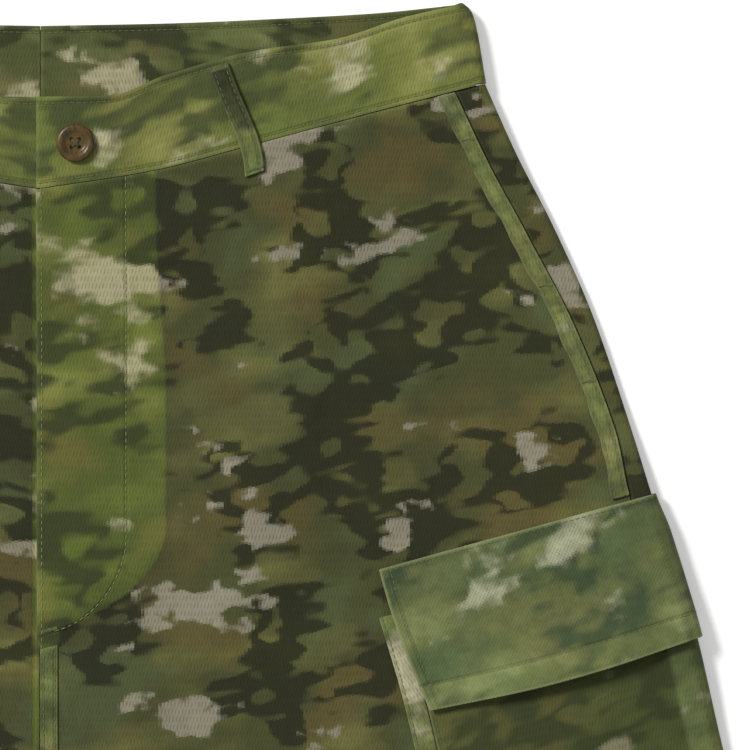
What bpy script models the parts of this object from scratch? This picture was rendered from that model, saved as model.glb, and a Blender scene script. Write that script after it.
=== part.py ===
"""Cargo shorts, buttoned and laid flat: every cut piece is a thin cloth solid lying on the next.

Lengths in the tables are millimetres. x runs towards the wearer's left, depth runs from the back
waistband's top edge down to the hems, and z is the height above the surface that the garment lies on.
"""

import math
from collections import namedtuple

import bmesh
import bpy

MM = 0.001

# Cloth thickness and the clearances between pieces.
CLOTH = 1.1                 # one layer of the body cloth, with its seam allowances pressed in
BAND_CLOTH = 2.2            # waistband: two layers and a stiffener
FLAP_CLOTH = 1.8            # cargo flap: two layers turned out
SEAM_GAP = 0.3              # between two pieces that meet or lie on each other
LAYER_GAP = 0.5             # between the front and the back of a leg laid flat
FOLD_PUFF = 2.1             # how far the front springs up along the side fold
PUFF_REACH = 32.0           # and how far in from the fold that spring dies away

# Where the garment sits in its frame: the middle of its whole depth is y = 0.
DEPTH_MIDDLE = 281.85

# One row for each line across a leg: how far down the side it starts, where it meets the side
# fold, and where it ends at the centre seam (above the crotch) or the inseam (below it).
LegRow = namedtuple("LegRow", "down fold_x fold_depth inner_x front_depth back_depth")
LEG_ROWS = (
    LegRow(0.0, 208.7, 38.1, 0.0, 87.4, 53.0),       # waist seam
    LegRow(37.2, 224.0, 72.0, 0.0, 126.0, 97.0),
    LegRow(73.5, 240.6, 104.3, 0.0, 163.0, 139.0),   # hip
    LegRow(119.8, 259.4, 146.6, 0.0, 212.0, 195.0),
    LegRow(174.0, 276.8, 197.9, 0.0, 271.0, 262.0),
    LegRow(209.0, 287.0, 231.0, 0.0, 310.5, 306.0),  # seam of the cargo flap
    LegRow(266.0, 304.0, 286.0, 0.0, 370.0, 370.0),  # crotch
    LegRow(333.0, 319.4, 351.1, 27.2, 432.0, 432.0),
    LegRow(478.0, 355.0, 492.0, 85.0, 564.0, 564.0),  # hem
)
WAIST_ROW = LEG_ROWS[0]

# The waistband's edges: depth at each distance from the centre.
Edge = namedtuple("Edge", "x depth")
FRONT_TOP = (Edge(0.0, 44.2), Edge(33.0, 43.6), Edge(58.0, 34.5), Edge(99.0, 23.0), Edge(139.0, 17.0),
             Edge(172.0, 6.5), Edge(200.0, 0.3))
FRONT_SEAM = (Edge(0.0, 87.4), Edge(53.0, 79.0), Edge(95.0, 68.2), Edge(157.5, 51.2), Edge(208.7, 38.1))
BACK_TOP = (Edge(0.0, 10.6), Edge(60.0, 9.4), Edge(116.0, 7.0), Edge(157.0, 4.7), Edge(200.0, 0.3))
SEAM_SAG_REACH = 150.0      # the waist seam's dip fades out this far down the leg

# The waistband's side fold leans out and has a rounded top corner; across runs from its top edge
# to its seam, as a part of its height.
BandFold = namedtuple("BandFold", "across x")
BAND_FOLD = (BandFold(0.0, 198.0), BandFold(0.1, 201.8), BandFold(0.25, 203.8), BandFold(1.0, 208.7))

# The side seam lies on the front face, this far in from the fold.
SideSeam = namedtuple("SideSeam", "down inset")
SIDE_SEAM = (SideSeam(0.0, 14.0), SideSeam(73.5, 12.5), SideSeam(120.0, 9.5), SideSeam(174.0, 6.8),
             SideSeam(209.0, 9.5), SideSeam(478.0, 10.0))
SIDE_BAND_WIDTH = 9.5       # the stitched-down edge of the side pocket and seam

# Fly.
FLY_EDGE_X = -1.5           # the left front laps this far over the centre line
FLY_OVERLAP_DOWN = 196.0    # and does so down to here, where the plain seam starts
FACING_WIDTH = 43.0
SHIELD_WIDTH = 59.0
SHIELD_INSIDE = -12.0
FLY_STRAIGHT_DOWN = 171.0   # the fly pieces run straight down to here, then round in
FLY_FOOT_DOWN = 201.0
FLY_FOOT_WIDTH = 8.0

# Cargo pocket and flap, placed down the leg and in from the side fold.
FLAP_DOWN = (209.0, 230.0, 254.0, 279.0)
FLAP_EDGE_INSET = (132.5, 131.2, 129.9, 128.6)
POCKET_DOWN = (230.6, 254.0, 279.0, 312.0, 345.0, 378.0, 409.0)
POCKET_EDGE_INSET = 129.2
GUSSET_WIDTH = 10.0
WRAP_POCKET = 32.0          # how far the pocket runs on round the fold, on the underside
WRAP_FLAP = 40.0

# Rows and columns that the leg panels share with everything sewn on them, so that facets match.
PANEL_DOWN = (0.15, 15.0, 37.0, 60.0, 85.0, 105.0, 130.0, 155.0, 180.0, 209.0, 230.0, 254.0,
              279.0, 312.0, 345.0, 378.0, 409.0, 443.0, 478.0)
OUTER_INSETS = (110.0, 90.0, 70.0, 50.0, 34.0)
INNER_COLUMNS = 5
FOLD_ANGLES = (90.0, 54.0, 18.0, -18.0, -54.0, -90.0)
BACK_INSETS = (20.0, 50.0, 80.0, 110.0)

# What lies under the back lifts it: loops at the waist, pocket and flap at the side fold.
LOOP_LIFT = CLOTH + SEAM_GAP
POCKET_LIFT = CLOTH + SEAM_GAP
FLAP_LIFT = FLAP_CLOTH + SEAM_GAP
LIFT_INSET = (50.0, 110.0)
FLY_LAYER = CLOTH + SEAM_GAP
FLY_PAD_DRAW_IN = 0.15      # the rise over the fly draws in towards the centre down the leg

# Belt loops: middle of the top end and of the foot.
LOOP_WIDTH = 9.5
BeltLoop = namedtuple("BeltLoop", "top_x top_depth foot_x foot_depth")
FRONT_LOOP = BeltLoop(84.1, 29.5, 101.0, 80.5)
BACK_LOOP = BeltLoop(118.0, 8.5, 121.0, 61.0)
CENTRE_LOOP = BeltLoop(0.0, 12.2, 0.0, 68.0)
LOOP_ARCH = 0.5             # how far a front loop stands off the waistband at its middle
LOOP_STEP = 0.82            # and the part of its length at which it reaches the waistband's seam

# Waist button, a four-hole disc with a raised rim.
BUTTON_X = 17.0
BUTTON_DEPTH = 66.0
RimPoint = namedtuple("RimPoint", "radius height")
BUTTON_PROFILE = (RimPoint(0.0, 1.5), RimPoint(4.6, 1.5), RimPoint(5.7, 2.5), RimPoint(7.4, 2.9),
                  RimPoint(8.6, 2.4), RimPoint(9.0, 1.6), RimPoint(8.1, 0.5), RimPoint(6.2, 0.0),
                  RimPoint(0.0, 0.0))
BUTTON_STEPS = 28
HOLE_RADIUS = 0.95
HOLE_OFFSET = 1.75

# Broad swells where the front does not lie quite down.
Swell = namedtuple("Swell", "x depth half_width half_length lean_degrees height")
SWELLS = (
    Swell(142.0, 150.0, 26.0, 62.0, 22.0, 1.3),
    Swell(92.0, 300.0, 30.0, 70.0, -12.0, 1.2),
    Swell(120.0, 470.0, 24.0, 55.0, 20.0, 1.1),
)


def interpolate(table, column, at):
    """Read a column at a value of the table's first column, by a smooth curve that never overshoots."""
    places = [row[0] for row in table]
    values = [getattr(row, column) for row in table]
    if at <= places[0]:
        slope = (values[1] - values[0]) / (places[1] - places[0])
        return values[0] + slope * (at - places[0])
    if at >= places[-1]:
        return values[-1]
    slopes = [(values[i + 1] - values[i]) / (places[i + 1] - places[i]) for i in range(len(places) - 1)]
    tangents = [slopes[0]]
    for before, after in zip(slopes, slopes[1:]):
        tangents.append(0.0 if before * after <= 0 else 2 * before * after / (before + after))
    tangents.append(slopes[-1])
    i = max(k for k in range(len(places) - 1) if places[k] <= at)
    span = places[i + 1] - places[i]
    t = (at - places[i]) / span
    start = values[i] * (1 + 2 * t) * (1 - t) ** 2 + tangents[i] * span * t * (1 - t) ** 2
    end = values[i + 1] * t * t * (3 - 2 * t) + tangents[i + 1] * span * t * t * (t - 1)
    return start + end


def fade(value, full, gone):
    """1 up to full, 0 from gone on, and a smooth slope between."""
    t = min(max((value - full) / (gone - full), 0.0), 1.0)
    return 1 - t * t * (3 - 2 * t)


def between(value, start, end, ramp):
    """1 from start to end, with a smooth slope of length ramp outside both."""
    return fade(value, end, end + ramp) * fade(-value, -start, ramp - start)


def swell(x, depth):
    """Height of the broad swells at a place on the front."""
    total = 0.0
    for one in SWELLS:
        angle = math.radians(one.lean_degrees)
        along = (depth - one.depth) * math.cos(angle) + (x - one.x) * math.sin(angle)
        across = (x - one.x) * math.cos(angle) - (depth - one.depth) * math.sin(angle)
        total += one.height * math.exp(-(across / one.half_width) ** 2 - (along / one.half_length) ** 2)
    return total


# ---------------------------------------------------------------- the leg, as a flattened tube

def leg_row(down, face):
    """Ends of the line across the leg at a distance down the side: inner end, then fold."""
    inner = (interpolate(LEG_ROWS, "inner_x", down), interpolate(LEG_ROWS, face + "_depth", down))
    fold = (interpolate(LEG_ROWS, "fold_x", down), interpolate(LEG_ROWS, "fold_depth", down))
    return inner, fold


def seam_sag(part):
    """How far the front waist seam dips below the straight line between its ends."""
    straight = WAIST_ROW.front_depth + (WAIST_ROW.fold_depth - WAIST_ROW.front_depth) * part
    return interpolate(FRONT_SEAM, "depth", part * WAIST_ROW.fold_x) - straight


def on_row(down, face, inset):
    """Plan position (x, depth) at a distance in from the side fold, along the row."""
    inner, fold = leg_row(down, face)
    part = 1 - inset / math.dist(inner, fold)
    x = inner[0] + (fold[0] - inner[0]) * part
    depth = inner[1] + (fold[1] - inner[1]) * part
    if face == "front":
        depth += seam_sag(min(max(part, 0.0), 1.0)) * fade(down, 0.0, SEAM_SAG_REACH)
    return x, depth


def inset_of_x(down, face, x):
    """The inset along a row at which it crosses a given x."""
    inner, fold = leg_row(down, face)
    return (fold[0] - x) / (fold[0] - inner[0]) * math.dist(inner, fold)


def back_low(down, inset):
    """Underside of the back layer."""
    near_fold = fade(inset, *LIFT_INSET)
    loops = LOOP_LIFT * fade(down, 15.0, 85.0)
    pocket = POCKET_LIFT * between(down, 226.0, 413.0, 55.0)
    flap = FLAP_LIFT * between(down, 205.0, 283.0, 55.0)
    return loops + (pocket + flap) * near_fold


def front_base(down, inset):
    """Underside of the front layer where nothing lies between it and the back."""
    back_cloth = CLOTH + (BAND_CLOTH - CLOTH) * fade(down, 10.0, 60.0)
    puff = FOLD_PUFF * fade(inset, 0.0, PUFF_REACH)
    return back_low(down, inset) + back_cloth + LAYER_GAP + puff


def fly_pad(side, down, x):
    """Extra height of a front over the fly pieces: two layers on the left, one on the right."""
    if side > 0:
        drawn_in = FLY_PAD_DRAW_IN * min(down, FLAP_DOWN[0])
        return 2 * FLY_LAYER * fade(x, 110.0 - drawn_in, 170.0 - drawn_in) * fade(down, 220.0, 300.0)
    return FLY_LAYER * fade(x, 40.0, 100.0) * fade(down, 220.0, 300.0)


def front_middle(side, down, inset):
    x, depth = on_row(down, "front", inset)
    return front_base(down, inset) + fly_pad(side, down, x) + swell(x, depth) + CLOTH / 2


def back_middle(down, inset):
    return back_low(down, inset) + CLOTH / 2


def leg_skin(side, down, station, out=0.0):
    """A point of the leg: station is a face and a distance in from the fold, or the angle round it.

    out moves the point off the middle of the cloth, away from the leg's inside.
    """
    face, value = station
    if face == "fold":
        low = back_middle(down, 0.0)
        high = front_middle(side, down, 0.0)
        radius = (high - low) / 2
        angle = math.radians(value)
        x, depth = on_row(down, "front", radius - (radius + out) * math.cos(angle))
        z = (high + low) / 2 + (radius + out) * math.sin(angle)
    elif face == "front":
        x, depth = on_row(down, face, value)
        z = front_middle(side, down, value) + out
    else:
        x, depth = on_row(down, face, value)
        z = back_middle(down, value) - out
    return side * x, depth, z


def frame_point(x, depth, z):
    """From millimetres of the layout to metres of the part's frame."""
    return x * MM, (DEPTH_MIDDLE - depth) * MM, z * MM


# ---------------------------------------------------------------- helpers that make objects

def clear_scene():
    for thing in list(bpy.data.objects):
        bpy.data.objects.remove(thing, do_unlink=True)


def new_collection(name):
    group = bpy.data.collections.new(name)
    bpy.context.scene.collection.children.link(group)
    return group


def new_material(name, colour, roughness):
    material = bpy.data.materials.new(name)
    material.use_nodes = True
    shader = material.node_tree.nodes["Principled BSDF"]
    shader.inputs["Base Color"].default_value = (*colour, 1.0)
    shader.inputs["Roughness"].default_value = roughness
    shader.inputs["Metallic"].default_value = 0.0
    return material


def cloth_piece(name, group, material, thickness, columns, rows, place):
    """A sheet from a grid: place(column, row) gives each point in layout millimetres."""
    mesh = bpy.data.meshes.new(name)
    net = bmesh.new()
    bmesh.ops.create_grid(net, x_segments=columns, y_segments=rows, size=0.5)
    for vert in net.verts:
        column = round((vert.co.x + 0.5) * columns)
        row = round((0.5 - vert.co.y) * rows)
        vert.co = frame_point(*place(column, row))
    net.to_mesh(mesh)
    net.free()
    piece = bpy.data.objects.new(name, mesh)
    group.objects.link(piece)
    mesh.materials.append(material)
    wall = piece.modifiers.new("cloth wall", "SOLIDIFY")
    wall.thickness = thickness * MM
    wall.offset = 0.0
    return piece


# ---------------------------------------------------------------- leg panels

def side_seam_inset(down):
    return interpolate(SIDE_SEAM, "inset", down)


def inner_edge(side, down, face):
    """Inset of a panel's inner edge: half a seam gap short of the seam, or the fly's overlap."""
    x, _ = leg_row(down, face)[0]
    edge = x + SEAM_GAP / 2
    if face == "front" and side > 0:
        edge += (FLY_EDGE_X - SEAM_GAP / 2) * fade(down, FLY_OVERLAP_DOWN, FLY_OVERLAP_DOWN + 8.0)
    return inset_of_x(down, face, edge)


def inner_insets(side, down, face, outer):
    """Insets spread evenly from a panel's inner edge out to the first shared column."""
    start = inner_edge(side, down, face)
    return [start + (outer - start) * i / INNER_COLUMNS for i in range(INNER_COLUMNS)]


def front_stations(side, down):
    seam = side_seam_inset(down)
    insets = inner_insets(side, down, "front", OUTER_INSETS[0]) + list(OUTER_INSETS)
    insets += [seam + SIDE_BAND_WIDTH, seam + SEAM_GAP / 2]
    return [("front", inset) for inset in insets]


def back_stations(side, down):
    seam = side_seam_inset(down)
    insets = inner_insets(side, down, "back", BACK_INSETS[-1])
    stations = [("front", seam - SEAM_GAP / 2)]
    stations += [("fold", angle) for angle in FOLD_ANGLES]
    stations += [("back", inset) for inset in BACK_INSETS]
    return stations + [("back", inset) for inset in reversed(insets)]


def panel(name, group, material, side, stations):
    table = [stations(side, down) for down in PANEL_DOWN]

    def place(column, row):
        return leg_skin(side, PANEL_DOWN[row], table[row][column])

    return cloth_piece(name, group, material, CLOTH, len(table[0]) - 1, len(PANEL_DOWN) - 1, place)


# ---------------------------------------------------------------- waistband

BAND_ACROSS = (0.0, 0.1, 0.25, 0.6, 1.0)
BAND_FRONT_X = (20.0, 42.0, 64.0, 86.0, 110.0, 125.0, 140.0, 155.0, 170.0, 188.0)
BAND_BACK_X = (188.0, 160.0, 130.0, 100.0, 70.0, 35.0)
UNDERLAP_X = 45.0
BAND_LOW = LOOP_LIFT
BAND_FRONT_LOW = LOOP_LIFT + BAND_CLOTH + LAYER_GAP
BAND_PAD = BAND_CLOTH + SEAM_GAP


def band_edges(face, x):
    """Depth of the waistband's top edge and of its seam at a distance from the centre."""
    if face == "front":
        return interpolate(FRONT_TOP, "depth", x), interpolate(FRONT_SEAM, "depth", x)
    slope = (WAIST_ROW.fold_depth - WAIST_ROW.back_depth) / WAIST_ROW.fold_x
    return interpolate(BACK_TOP, "depth", x), WAIST_ROW.back_depth + slope * x


def band_front_low(side, x):
    pad = BAND_PAD * fade(abs(x), 110.0, 170.0) if side > 0 else 0.0
    puff = FOLD_PUFF * fade(WAIST_ROW.fold_x - x, 0.0, PUFF_REACH)
    return BAND_FRONT_LOW + pad + puff


def band_skin(side, across, station, out=0.0):
    """A point of the waistband; across runs from its top edge, 0, to its seam, 1."""
    face, value = station
    if face == "fold":
        edge = interpolate(BAND_FOLD, "x", across)
        low = BAND_LOW + BAND_CLOTH / 2
        high = band_front_low(side, edge) + BAND_CLOTH / 2
        radius = (high - low) / 2
        angle = math.radians(value)
        x = edge - radius + (radius + out) * math.cos(angle)
        top, seam = band_edges("front" if value >= 0 else "back", edge)
        z = (high + low) / 2 + (radius + out) * math.sin(angle)
    elif face == "front":
        x = value
        top, seam = band_edges(face, abs(x))
        z = band_front_low(side, x) + BAND_CLOTH / 2 + out
    else:
        x = value
        top, seam = band_edges(face, x)
        z = BAND_LOW + BAND_CLOTH / 2 - out
    return side * x, top + (seam - SEAM_GAP / 2 - top) * across, z


def waistband(name, group, material, side):
    """Half the waistband, in one strip from the fly round the side fold to the centre back."""
    ends = [FLY_EDGE_X] if side > 0 else [-UNDERLAP_X, -22.0, 0.0]
    stations = [("front", x) for x in ends + list(BAND_FRONT_X)]
    stations += [("fold", angle) for angle in FOLD_ANGLES]
    stations += [("back", x) for x in BAND_BACK_X + (SEAM_GAP / 2,)]

    def place(column, row):
        return band_skin(side, BAND_ACROSS[row], stations[column])

    return cloth_piece(name, group, material, BAND_CLOTH, len(stations) - 1, len(BAND_ACROSS) - 1, place)


# ---------------------------------------------------------------- fly

FLY_DOWN = (0.15, 15.0, 37.0, 60.0, 85.0, 130.0, 171.0, 182.0, 191.0, 197.0, 201.0)


def fly_edge_x(width, down):
    """The fly pieces' free edge: straight, then rounding in to a narrow foot."""
    if down <= FLY_STRAIGHT_DOWN:
        return width
    part = (down - FLY_STRAIGHT_DOWN) / (FLY_FOOT_DOWN - FLY_STRAIGHT_DOWN)
    return FLY_FOOT_WIDTH + (width - FLY_FOOT_WIDTH) * math.sqrt(max(1 - part * part, 0.0))


def fly_piece(name, group, material, start_x, width, low):
    """A piece under the left front, a given height above the lowest place it could lie."""
    columns = 3

    def place(column, row):
        down = FLY_DOWN[row]
        x = start_x + (fly_edge_x(width, down) - start_x) * column / columns
        inset = inset_of_x(down, "front", x)
        plan_x, depth = on_row(down, "front", inset)
        return plan_x, depth, front_base(down, inset) + low + CLOTH / 2

    return cloth_piece(name, group, material, CLOTH, columns, len(FLY_DOWN) - 1, place)


def rise_band(name, group, material):
    """The felled centre seam between the fly's foot and the crotch, on the left front."""
    downs = (206.0, 230.0, 254.0, 262.5)
    width = 8.5

    def place(column, row):
        down = downs[row]
        edge = inner_edge(1, down, "front")
        return leg_skin(1, down, ("front", edge - width * column), CLOTH + SEAM_GAP)

    return cloth_piece(name, group, material, CLOTH, 1, len(downs) - 1, place)


# ---------------------------------------------------------------- pieces sewn on the legs

def side_band(name, group, material, side):
    """The stitched-down strip of the side pocket's mouth and seam, from waistband to flap."""
    downs = (0.9,) + PANEL_DOWN[1:9] + (206.5,)

    def place(column, row):
        down = downs[row]
        inset = side_seam_inset(down) + (SIDE_BAND_WIDTH if column == 0 else SEAM_GAP / 2)
        return leg_skin(side, down, ("front", inset), CLOTH + SEAM_GAP)

    return cloth_piece(name, group, material, CLOTH, 1, len(downs) - 1, place)


def wrapped_stations(down, edge_inset, back_insets):
    """Columns from a front edge, over the shared insets, round the fold and on to the underside."""
    seam = side_seam_inset(down)
    insets = (edge_inset,) + OUTER_INSETS + (seam + SIDE_BAND_WIDTH, seam)
    stations = [("front", inset) for inset in insets]
    stations += [("fold", angle) for angle in FOLD_ANGLES]
    return stations + [("back", inset) for inset in back_insets]


def cargo_pocket(name, group, material, side):
    table = [wrapped_stations(down, POCKET_EDGE_INSET, (18.0, WRAP_POCKET)) for down in POCKET_DOWN]

    def place(column, row):
        return leg_skin(side, POCKET_DOWN[row], table[row][column], CLOTH + SEAM_GAP)

    return cloth_piece(name, group, material, CLOTH, len(table[0]) - 1, len(POCKET_DOWN) - 1, place)


def gusset(name, group, material, side, face, start, end):
    """The pocket's flattened side strip, beside the pocket at the same height."""

    def place(column, row):
        inset = start + (end - start) * column
        return leg_skin(side, POCKET_DOWN[row], (face, inset), CLOTH + SEAM_GAP)

    return cloth_piece(name, group, material, CLOTH, 1, len(POCKET_DOWN) - 1, place)


def cargo_flap(name, group, material, side):
    """The flap, sewn to the leg above the pocket and lying over the pocket's mouth."""
    table = [wrapped_stations(down, edge, (18.0, WRAP_FLAP)) for down, edge in zip(FLAP_DOWN, FLAP_EDGE_INSET)]
    on_leg = CLOTH / 2 + SEAM_GAP + FLAP_CLOTH / 2
    on_pocket = on_leg + CLOTH + SEAM_GAP

    def place(column, row):
        return leg_skin(side, FLAP_DOWN[row], table[row][column], on_leg if row == 0 else on_pocket)

    return cloth_piece(name, group, material, FLAP_CLOTH, len(table[0]) - 1, len(FLAP_DOWN) - 1, place)


def belt_loop(name, group, material, side, ends, height):
    """A narrow strip from a top end to a foot; height(part) gives its middle above the surface."""
    rows = 8
    length = math.dist((ends.top_x, ends.top_depth), (ends.foot_x, ends.foot_depth))
    along = ((ends.foot_x - ends.top_x) / length, (ends.foot_depth - ends.top_depth) / length)

    def place(column, row):
        distance = length * row / rows
        aside = LOOP_WIDTH * (column - 0.5)
        x = ends.top_x + along[0] * distance + along[1] * aside
        depth = ends.top_depth + along[1] * distance - along[0] * aside
        return side * x, depth, height(row / rows)

    return cloth_piece(name, group, material, CLOTH, 1, rows, place)


def front_loop_height(side):
    """The front loops lie on the waistband, then step down on to the front below its seam."""
    on_band = band_front_low(side, FRONT_LOOP.top_x) + BAND_CLOTH + SEAM_GAP + CLOTH / 2
    down = PANEL_DOWN[1]
    foot_inset = inset_of_x(down, "front", FRONT_LOOP.foot_x)
    on_front = front_middle(side, down, foot_inset) + CLOTH + SEAM_GAP

    def height(part):
        arch = LOOP_ARCH * math.sin(math.pi * min(part / LOOP_STEP, 1.0))
        return on_front + (on_band - on_front) * fade(part, LOOP_STEP, 1.0) + arch

    return height


def lying_loop_height(_part):
    return CLOTH / 2


# ---------------------------------------------------------------- button

def waist_button(name, group, cutters, material):
    """A turned disc with a raised rim and a dished middle, pierced by four holes."""
    profile = bpy.data.meshes.new(name)
    points = [(radius * MM, 0.0, height * MM) for radius, height in BUTTON_PROFILE]
    profile.from_pydata(points, [(i, i + 1) for i in range(len(points) - 1)], [])
    button = bpy.data.objects.new(name, profile)
    group.objects.link(button)
    profile.materials.append(material)
    seat = band_front_low(1, BUTTON_X) + BAND_CLOTH + SEAM_GAP
    button.location = frame_point(BUTTON_X, BUTTON_DEPTH, seat)
    turn = button.modifiers.new("turned", "SCREW")
    turn.steps = BUTTON_STEPS
    turn.render_steps = BUTTON_STEPS
    turn.use_merge_vertices = True
    turn.merge_threshold = 0.00005
    for i, (sign_x, sign_y) in enumerate(((1, 1), (-1, 1), (-1, -1), (1, -1))):
        mesh = bpy.data.meshes.new(f"button hole {i}")
        net = bmesh.new()
        bmesh.ops.create_cone(net, cap_ends=True, segments=10, radius1=HOLE_RADIUS * MM,
                              radius2=HOLE_RADIUS * MM, depth=8 * MM)
        net.to_mesh(mesh)
        net.free()
        cutter = bpy.data.objects.new(f"button hole {i}", mesh)
        cutters.objects.link(cutter)
        cutter.hide_render = True
        cutter.display_type = "WIRE"
        cutter.location = frame_point(BUTTON_X + sign_x * HOLE_OFFSET, BUTTON_DEPTH + sign_y * HOLE_OFFSET, seat)
        hole = button.modifiers.new(f"hole {i}", "BOOLEAN")
        hole.operation = "DIFFERENCE"
        hole.solver = "EXACT"
        hole.object = cutter
    return button


# ---------------------------------------------------------------- the garment

def build():
    clear_scene()
    shorts = new_collection("cargo_shorts")
    cutters = new_collection("cutters")
    body = new_material("body cloth", (0.078, 0.080, 0.034), 0.9)
    doubled = new_material("doubled cloth", (0.130, 0.155, 0.062), 0.88)
    horn = new_material("button horn", (0.105, 0.048, 0.026), 0.35)
    for side, hand in ((1, "left"), (-1, "right")):
        panel(f"front_{hand}", shorts, body, side, front_stations)
        panel(f"back_{hand}", shorts, body, side, back_stations)
        waistband(f"waistband_{hand}", shorts, doubled, side)
        side_band(f"side_band_{hand}", shorts, doubled, side)
        cargo_pocket(f"cargo_pocket_{hand}", shorts, body, side)
        gusset_start = POCKET_EDGE_INSET + SEAM_GAP
        gusset(f"cargo_gusset_front_{hand}", shorts, doubled, side, "front",
               gusset_start + GUSSET_WIDTH, gusset_start)
        gusset(f"cargo_gusset_back_{hand}", shorts, doubled, side, "back",
               WRAP_POCKET + SEAM_GAP, WRAP_POCKET + SEAM_GAP + GUSSET_WIDTH)
        cargo_flap(f"cargo_flap_{hand}", shorts, doubled, side)
        belt_loop(f"belt_loop_front_{hand}", shorts, doubled, side, FRONT_LOOP, front_loop_height(side))
        belt_loop(f"belt_loop_back_{hand}", shorts, doubled, side, BACK_LOOP, lying_loop_height)
    belt_loop("belt_loop_centre", shorts, doubled, 1, CENTRE_LOOP, lying_loop_height)
    fly_piece("fly_shield", shorts, doubled, SHIELD_INSIDE, SHIELD_WIDTH, 0.0)
    fly_piece("fly_facing", shorts, doubled, SEAM_GAP / 2, FACING_WIDTH, FLY_LAYER)
    rise_band("rise_band", shorts, doubled)
    waist_button("waist_button", shorts, cutters, horn)


build()
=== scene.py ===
# %% [markdown]
# # Cargo shorts, buttoned and laid flat
# This script dresses a pair of cargo shorts that already exists as a plain solid model.
# The solid model is loaded first, and it fixes the size and the place of everything below.
# Then each cut piece of cloth is modelled again as a fine sheet, with its creases, its stitching
# and its woven camouflage, and the shorts are lit and looked at from straight above.

# %% Load the solid model
import math
from collections import namedtuple

import bmesh
import bpy
import numpy as np
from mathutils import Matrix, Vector


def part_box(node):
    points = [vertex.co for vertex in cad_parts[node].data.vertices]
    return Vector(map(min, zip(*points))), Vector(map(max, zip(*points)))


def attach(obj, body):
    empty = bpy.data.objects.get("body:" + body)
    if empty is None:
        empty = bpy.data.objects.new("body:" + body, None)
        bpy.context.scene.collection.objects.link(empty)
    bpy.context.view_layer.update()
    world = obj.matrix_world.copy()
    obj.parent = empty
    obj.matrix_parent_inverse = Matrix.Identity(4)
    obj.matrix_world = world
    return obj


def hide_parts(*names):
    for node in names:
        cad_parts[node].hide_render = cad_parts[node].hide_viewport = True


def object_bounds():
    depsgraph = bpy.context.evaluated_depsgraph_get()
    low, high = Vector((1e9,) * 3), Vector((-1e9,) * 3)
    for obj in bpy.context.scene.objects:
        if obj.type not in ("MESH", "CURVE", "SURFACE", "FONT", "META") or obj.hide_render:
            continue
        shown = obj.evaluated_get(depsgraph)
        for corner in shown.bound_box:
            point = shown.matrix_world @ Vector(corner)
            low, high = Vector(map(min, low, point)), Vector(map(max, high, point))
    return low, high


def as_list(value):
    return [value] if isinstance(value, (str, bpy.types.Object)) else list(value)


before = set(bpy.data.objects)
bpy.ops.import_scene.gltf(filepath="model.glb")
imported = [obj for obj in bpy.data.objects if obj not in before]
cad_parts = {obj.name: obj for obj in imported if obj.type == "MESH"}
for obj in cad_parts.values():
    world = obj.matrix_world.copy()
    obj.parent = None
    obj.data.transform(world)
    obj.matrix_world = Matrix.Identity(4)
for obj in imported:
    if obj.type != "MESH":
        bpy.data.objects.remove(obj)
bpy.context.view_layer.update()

print("pieces in the solid model:", len(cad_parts))

# %% [markdown]
# ## The pattern's lines
# A maker cuts trousers by a paper pattern, so the garment starts here as a short table of pattern lines.
# One row stands for one line across a leg, and its values say where that line begins and ends.
# Lengths in the tables are millimetres: x runs towards the wearer's left, and depth runs down from the
# top edge of the back waistband. The tables repeat the ones that made the solids.

# %% Tables of the pattern
MM = 0.001
CLOTH = 1.1                 # one layer of body cloth
BAND_CLOTH = 2.2            # waistband: two layers and a stiffener
FLAP_CLOTH = 1.8            # cargo flap: two layers turned out
SEAM_GAP = 0.3              # clearance between two pieces that meet
LAYER_GAP = 0.5             # between the front and the back of a leg
FOLD_PUFF = 2.1             # how far the front springs up along the side fold
PUFF_REACH = 32.0           # how far in that spring dies away
DEPTH_MIDDLE = 281.85       # this depth lies at y = 0

LegRow = namedtuple("LegRow", "down fold_x fold_depth inner_x front_depth back_depth")
LEG_ROWS = (
    LegRow(0.0, 208.7, 38.1, 0.0, 87.4, 53.0),       # waist seam
    LegRow(37.2, 224.0, 72.0, 0.0, 126.0, 97.0),
    LegRow(73.5, 240.6, 104.3, 0.0, 163.0, 139.0),   # hip
    LegRow(119.8, 259.4, 146.6, 0.0, 212.0, 195.0),
    LegRow(174.0, 276.8, 197.9, 0.0, 271.0, 262.0),
    LegRow(209.0, 287.0, 231.0, 0.0, 310.5, 306.0),  # seam of the cargo flap
    LegRow(266.0, 304.0, 286.0, 0.0, 370.0, 370.0),  # crotch
    LegRow(333.0, 319.4, 351.1, 27.2, 432.0, 432.0),
    LegRow(478.0, 355.0, 492.0, 85.0, 564.0, 564.0),  # hem
)
WAIST_ROW = LEG_ROWS[0]
HEM_DOWN = LEG_ROWS[-1].down

Edge = namedtuple("Edge", "x depth")
FRONT_TOP = (Edge(0.0, 44.2), Edge(33.0, 43.6), Edge(58.0, 34.5), Edge(99.0, 23.0), Edge(139.0, 17.0),
             Edge(172.0, 6.5), Edge(200.0, 0.3))
FRONT_SEAM = (Edge(0.0, 87.4), Edge(53.0, 79.0), Edge(95.0, 68.2), Edge(157.5, 51.2), Edge(208.7, 38.1))
BACK_TOP = (Edge(0.0, 10.6), Edge(60.0, 9.4), Edge(116.0, 7.0), Edge(157.0, 4.7), Edge(200.0, 0.3))
SEAM_SAG_REACH = 150.0      # the waist seam's dip dies out this far down

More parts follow.
